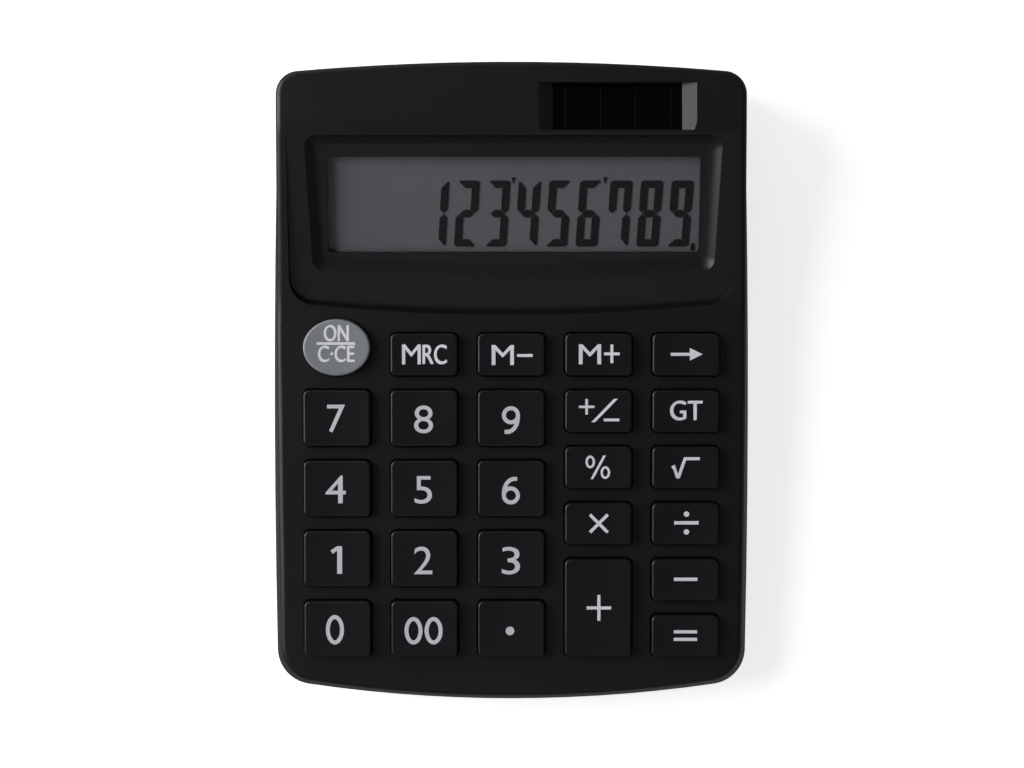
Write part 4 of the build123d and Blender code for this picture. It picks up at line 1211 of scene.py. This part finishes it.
# ---- case and inner pieces
@dataclass
class CasePieces:
    """The shells, the solar cell and everything inside, which keep their frame shapes.

    Attributes:
        wardrobe: the finishes.
        strips: how many strips the solar cell has.
    """

    wardrobe: Wardrobe
    strips: int = 4

    def build(self) -> None:
        """Dresses every piece that is neither a key nor part of the display."""
        finishes = {
            "top_case": Finish.CASE_BLACK,
            "bottom_case": Finish.CASE_BLACK,
            "battery_door": Finish.CASE_BLACK,
            "display_holder": Finish.WHITE_PLASTIC,
            "display_ribbon": Finish.CABLE_FILM,
            "solar_plate": Finish.WHITE_PLASTIC,
            "circuit_board": Finish.BOARD,
            "contact_pads": Finish.CARBON,
            "dome_sheet": Finish.DOME_RUBBER,
            "controller": Finish.EPOXY,
            "capacitor": Finish.SLEEVE,
            "battery_cell": Finish.CELL_STEEL,
            "plus_contact": Finish.CONTACT_METAL,
            "minus_contact": Finish.CONTACT_METAL,
            "rubber_feet": Finish.FOOT_RUBBER,
            "case_screws": Finish.SCREW_STEEL,
            "board_screws": Finish.SCREW_STEEL,
            "holder_screws": Finish.SCREW_STEEL,
            "solar_lead_plus": Finish.WIRE_RED,
            "battery_lead_plus": Finish.WIRE_RED,
            "solar_lead_minus": Finish.WIRE_BLACK,
            "battery_lead_minus": Finish.WIRE_BLACK,
            "solar_cell": self._solar_film(),
        }
        for name, finish in finishes.items():
            self.wardrobe.dress(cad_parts[name], finish)
        LOG.info("case: %d pieces dressed", len(finishes))

    def _solar_film(self) -> SolarFilm:
        """Returns the solar cell's finish, its strips spaced over the cell."""
        low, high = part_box("solar_cell")
        return SolarFilm("solar_film", low[0], (high[0] - low[0]) / self.strips)


# ---- studio
@dataclass(frozen=True)
class Softbox:
    """A soft rectangular light aimed at the calculator.

    Attributes:
        name: its name.
        place: where it stands.
        size: its width and height.
        watts: its power.
    """

    name: str
    place: tuple[float, float, float]
    size: tuple[float, float]
    watts: float

    def build(self) -> None:
        """Adds the light."""
        data = bpy.data.lights.new(self.name, "AREA")
        data.shape = "RECTANGLE"
        data.size, data.size_y = self.size
        data.energy = self.watts
        light = bpy.data.objects.new(self.name, data)
        bpy.context.scene.collection.objects.link(light)
        light.location = self.place
        light.rotation_mode = "QUATERNION"
        light.rotation_quaternion = (-Vector(self.place)).to_track_quat("-Z", "Y")


@dataclass
class Studio:
    """A pale table, soft lights at the left, behind and in front, and a camera straight above.

    Attributes:
        lights: the lights.
        table_glow: how strongly the table shines of itself.
        backdrop: what the camera sees past the table.
        horizon: the surroundings' tone at table height.
        overhead: their tone high up.
        overhead_from: the share of the way up from which that tone holds.
        camera_height: the camera's height over the table.
        view_width: how wide the view is at view_level.
        view_level: the height that view_width holds at.
        camera_x: how far right of the origin the camera stands.
        camera_y: how far behind the origin it stands.
    """

    lights: tuple[Softbox, ...] = (
        Softbox("softbox_left", (-0.75, 0.2, 0.4), (0.7, 0.9), 9.5),
        Softbox("softbox_back", (-0.3, 0.85, 0.3), (0.5, 0.3), 0.8),
        Softbox("softbox_front", (0.0, -0.62, 0.9), (0.5, 0.35), 0.3),
    )
    table_glow: float = 0.75
    backdrop: tuple[float, ...] = (0.95, 0.95, 0.95, 1.0)
    horizon: tuple[float, ...] = (0.2, 0.2, 0.21, 1.0)
    overhead: tuple[float, ...] = (0.085, 0.085, 0.1, 1.0)
    overhead_from: float = 0.6
    camera_height: float = 550 * MM
    view_width: float = 223.2 * MM
    view_level: float = 17.0 * MM
    camera_x: float = 0.15 * MM
    camera_y: float = -0.27 * MM

    def build(self) -> None:
        """Builds the table, the lights and the camera."""
        self._table()
        self._surroundings()
        for light in self.lights:
            light.build()
        self._camera()
        LOG.info("studio ready")

    def _table(self) -> None:
        """Adds the table top."""
        deselect()
        bpy.ops.mesh.primitive_grid_add(x_subdivisions=8, y_subdivisions=8, size=12.0)
        table = bpy.context.active_object
        table.name = "table_top"
        table.visible_glossy = False
        maker = MaterialMaker("table_white")
        cloud = maker.noise(120.0, 2.0)
        maker.set(Base_Color=maker.mix(cloud, (0.86, 0.86, 0.86), (0.9, 0.9, 0.9)), Roughness=0.9)
        maker.set(Emission_Color=(1.0, 1.0, 1.0), Emission_Strength=self.table_glow)
        maker.set(Specular_IOR_Level=0.1)
        table.data.materials.append(maker.material)

    def _surroundings(self) -> None:
        """Sets the world: dim overhead, a little brighter at the horizon, and pale to the camera."""
        world = bpy.data.worlds.new("studio")
        bpy.context.scene.world = world
        world.use_nodes = True
        tree = world.node_tree
        tree.nodes.clear()
        output = tree.nodes.new("ShaderNodeOutputWorld")
        seen = tree.nodes.new("ShaderNodeBackground")
        seen.inputs["Color"].default_value = self.backdrop
        room = tree.nodes.new("ShaderNodeBackground")
        coordinates = tree.nodes.new("ShaderNodeTexCoord")
        split = tree.nodes.new("ShaderNodeSeparateXYZ")
        ramp = tree.nodes.new("ShaderNodeValToRGB")
        ramp.color_ramp.elements[0].color = self.horizon
        ramp.color_ramp.elements[1].position = self.overhead_from
        ramp.color_ramp.elements[1].color = self.overhead
        path = tree.nodes.new("ShaderNodeLightPath")
        mix = tree.nodes.new("ShaderNodeMixShader")
        tree.links.new(coordinates.outputs["Generated"], split.inputs[0])
        tree.links.new(split.outputs["Z"], ramp.inputs[0])
        tree.links.new(ramp.outputs[0], room.inputs["Color"])
        tree.links.new(path.outputs["Is Camera Ray"], mix.inputs[0])
        tree.links.new(room.outputs[0], mix.inputs[1])
        tree.links.new(seen.outputs[0], mix.inputs[2])
        tree.links.new(mix.outputs[0], output.inputs["Surface"])

    def _camera(self) -> None:
        """Adds the camera straight above the calculator."""
        data = bpy.data.cameras.new("camera")
        data.sensor_width = 36.0
        data.lens = data.sensor_width * (self.camera_height - self.view_level) / self.view_width
        data.clip_start = 0.01
        camera = bpy.data.objects.new("camera", data)
        camera.location = (self.camera_x, self.camera_y, self.camera_height)
        bpy.context.scene.collection.objects.link(camera)
        bpy.context.scene.camera = camera
        bpy.context.scene.view_settings.view_transform = "Standard"


def main() -> None:
    """Builds the looks in order."""
    logging.basicConfig(level=logging.INFO)
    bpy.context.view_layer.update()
    wardrobe = Wardrobe()
    CasePieces(wardrobe).build()
    KeyPad(wardrobe).build()
    DisplayUnit(wardrobe).build()
    Studio().build()
    deselect()


if __name__ == "__main__":
    main()
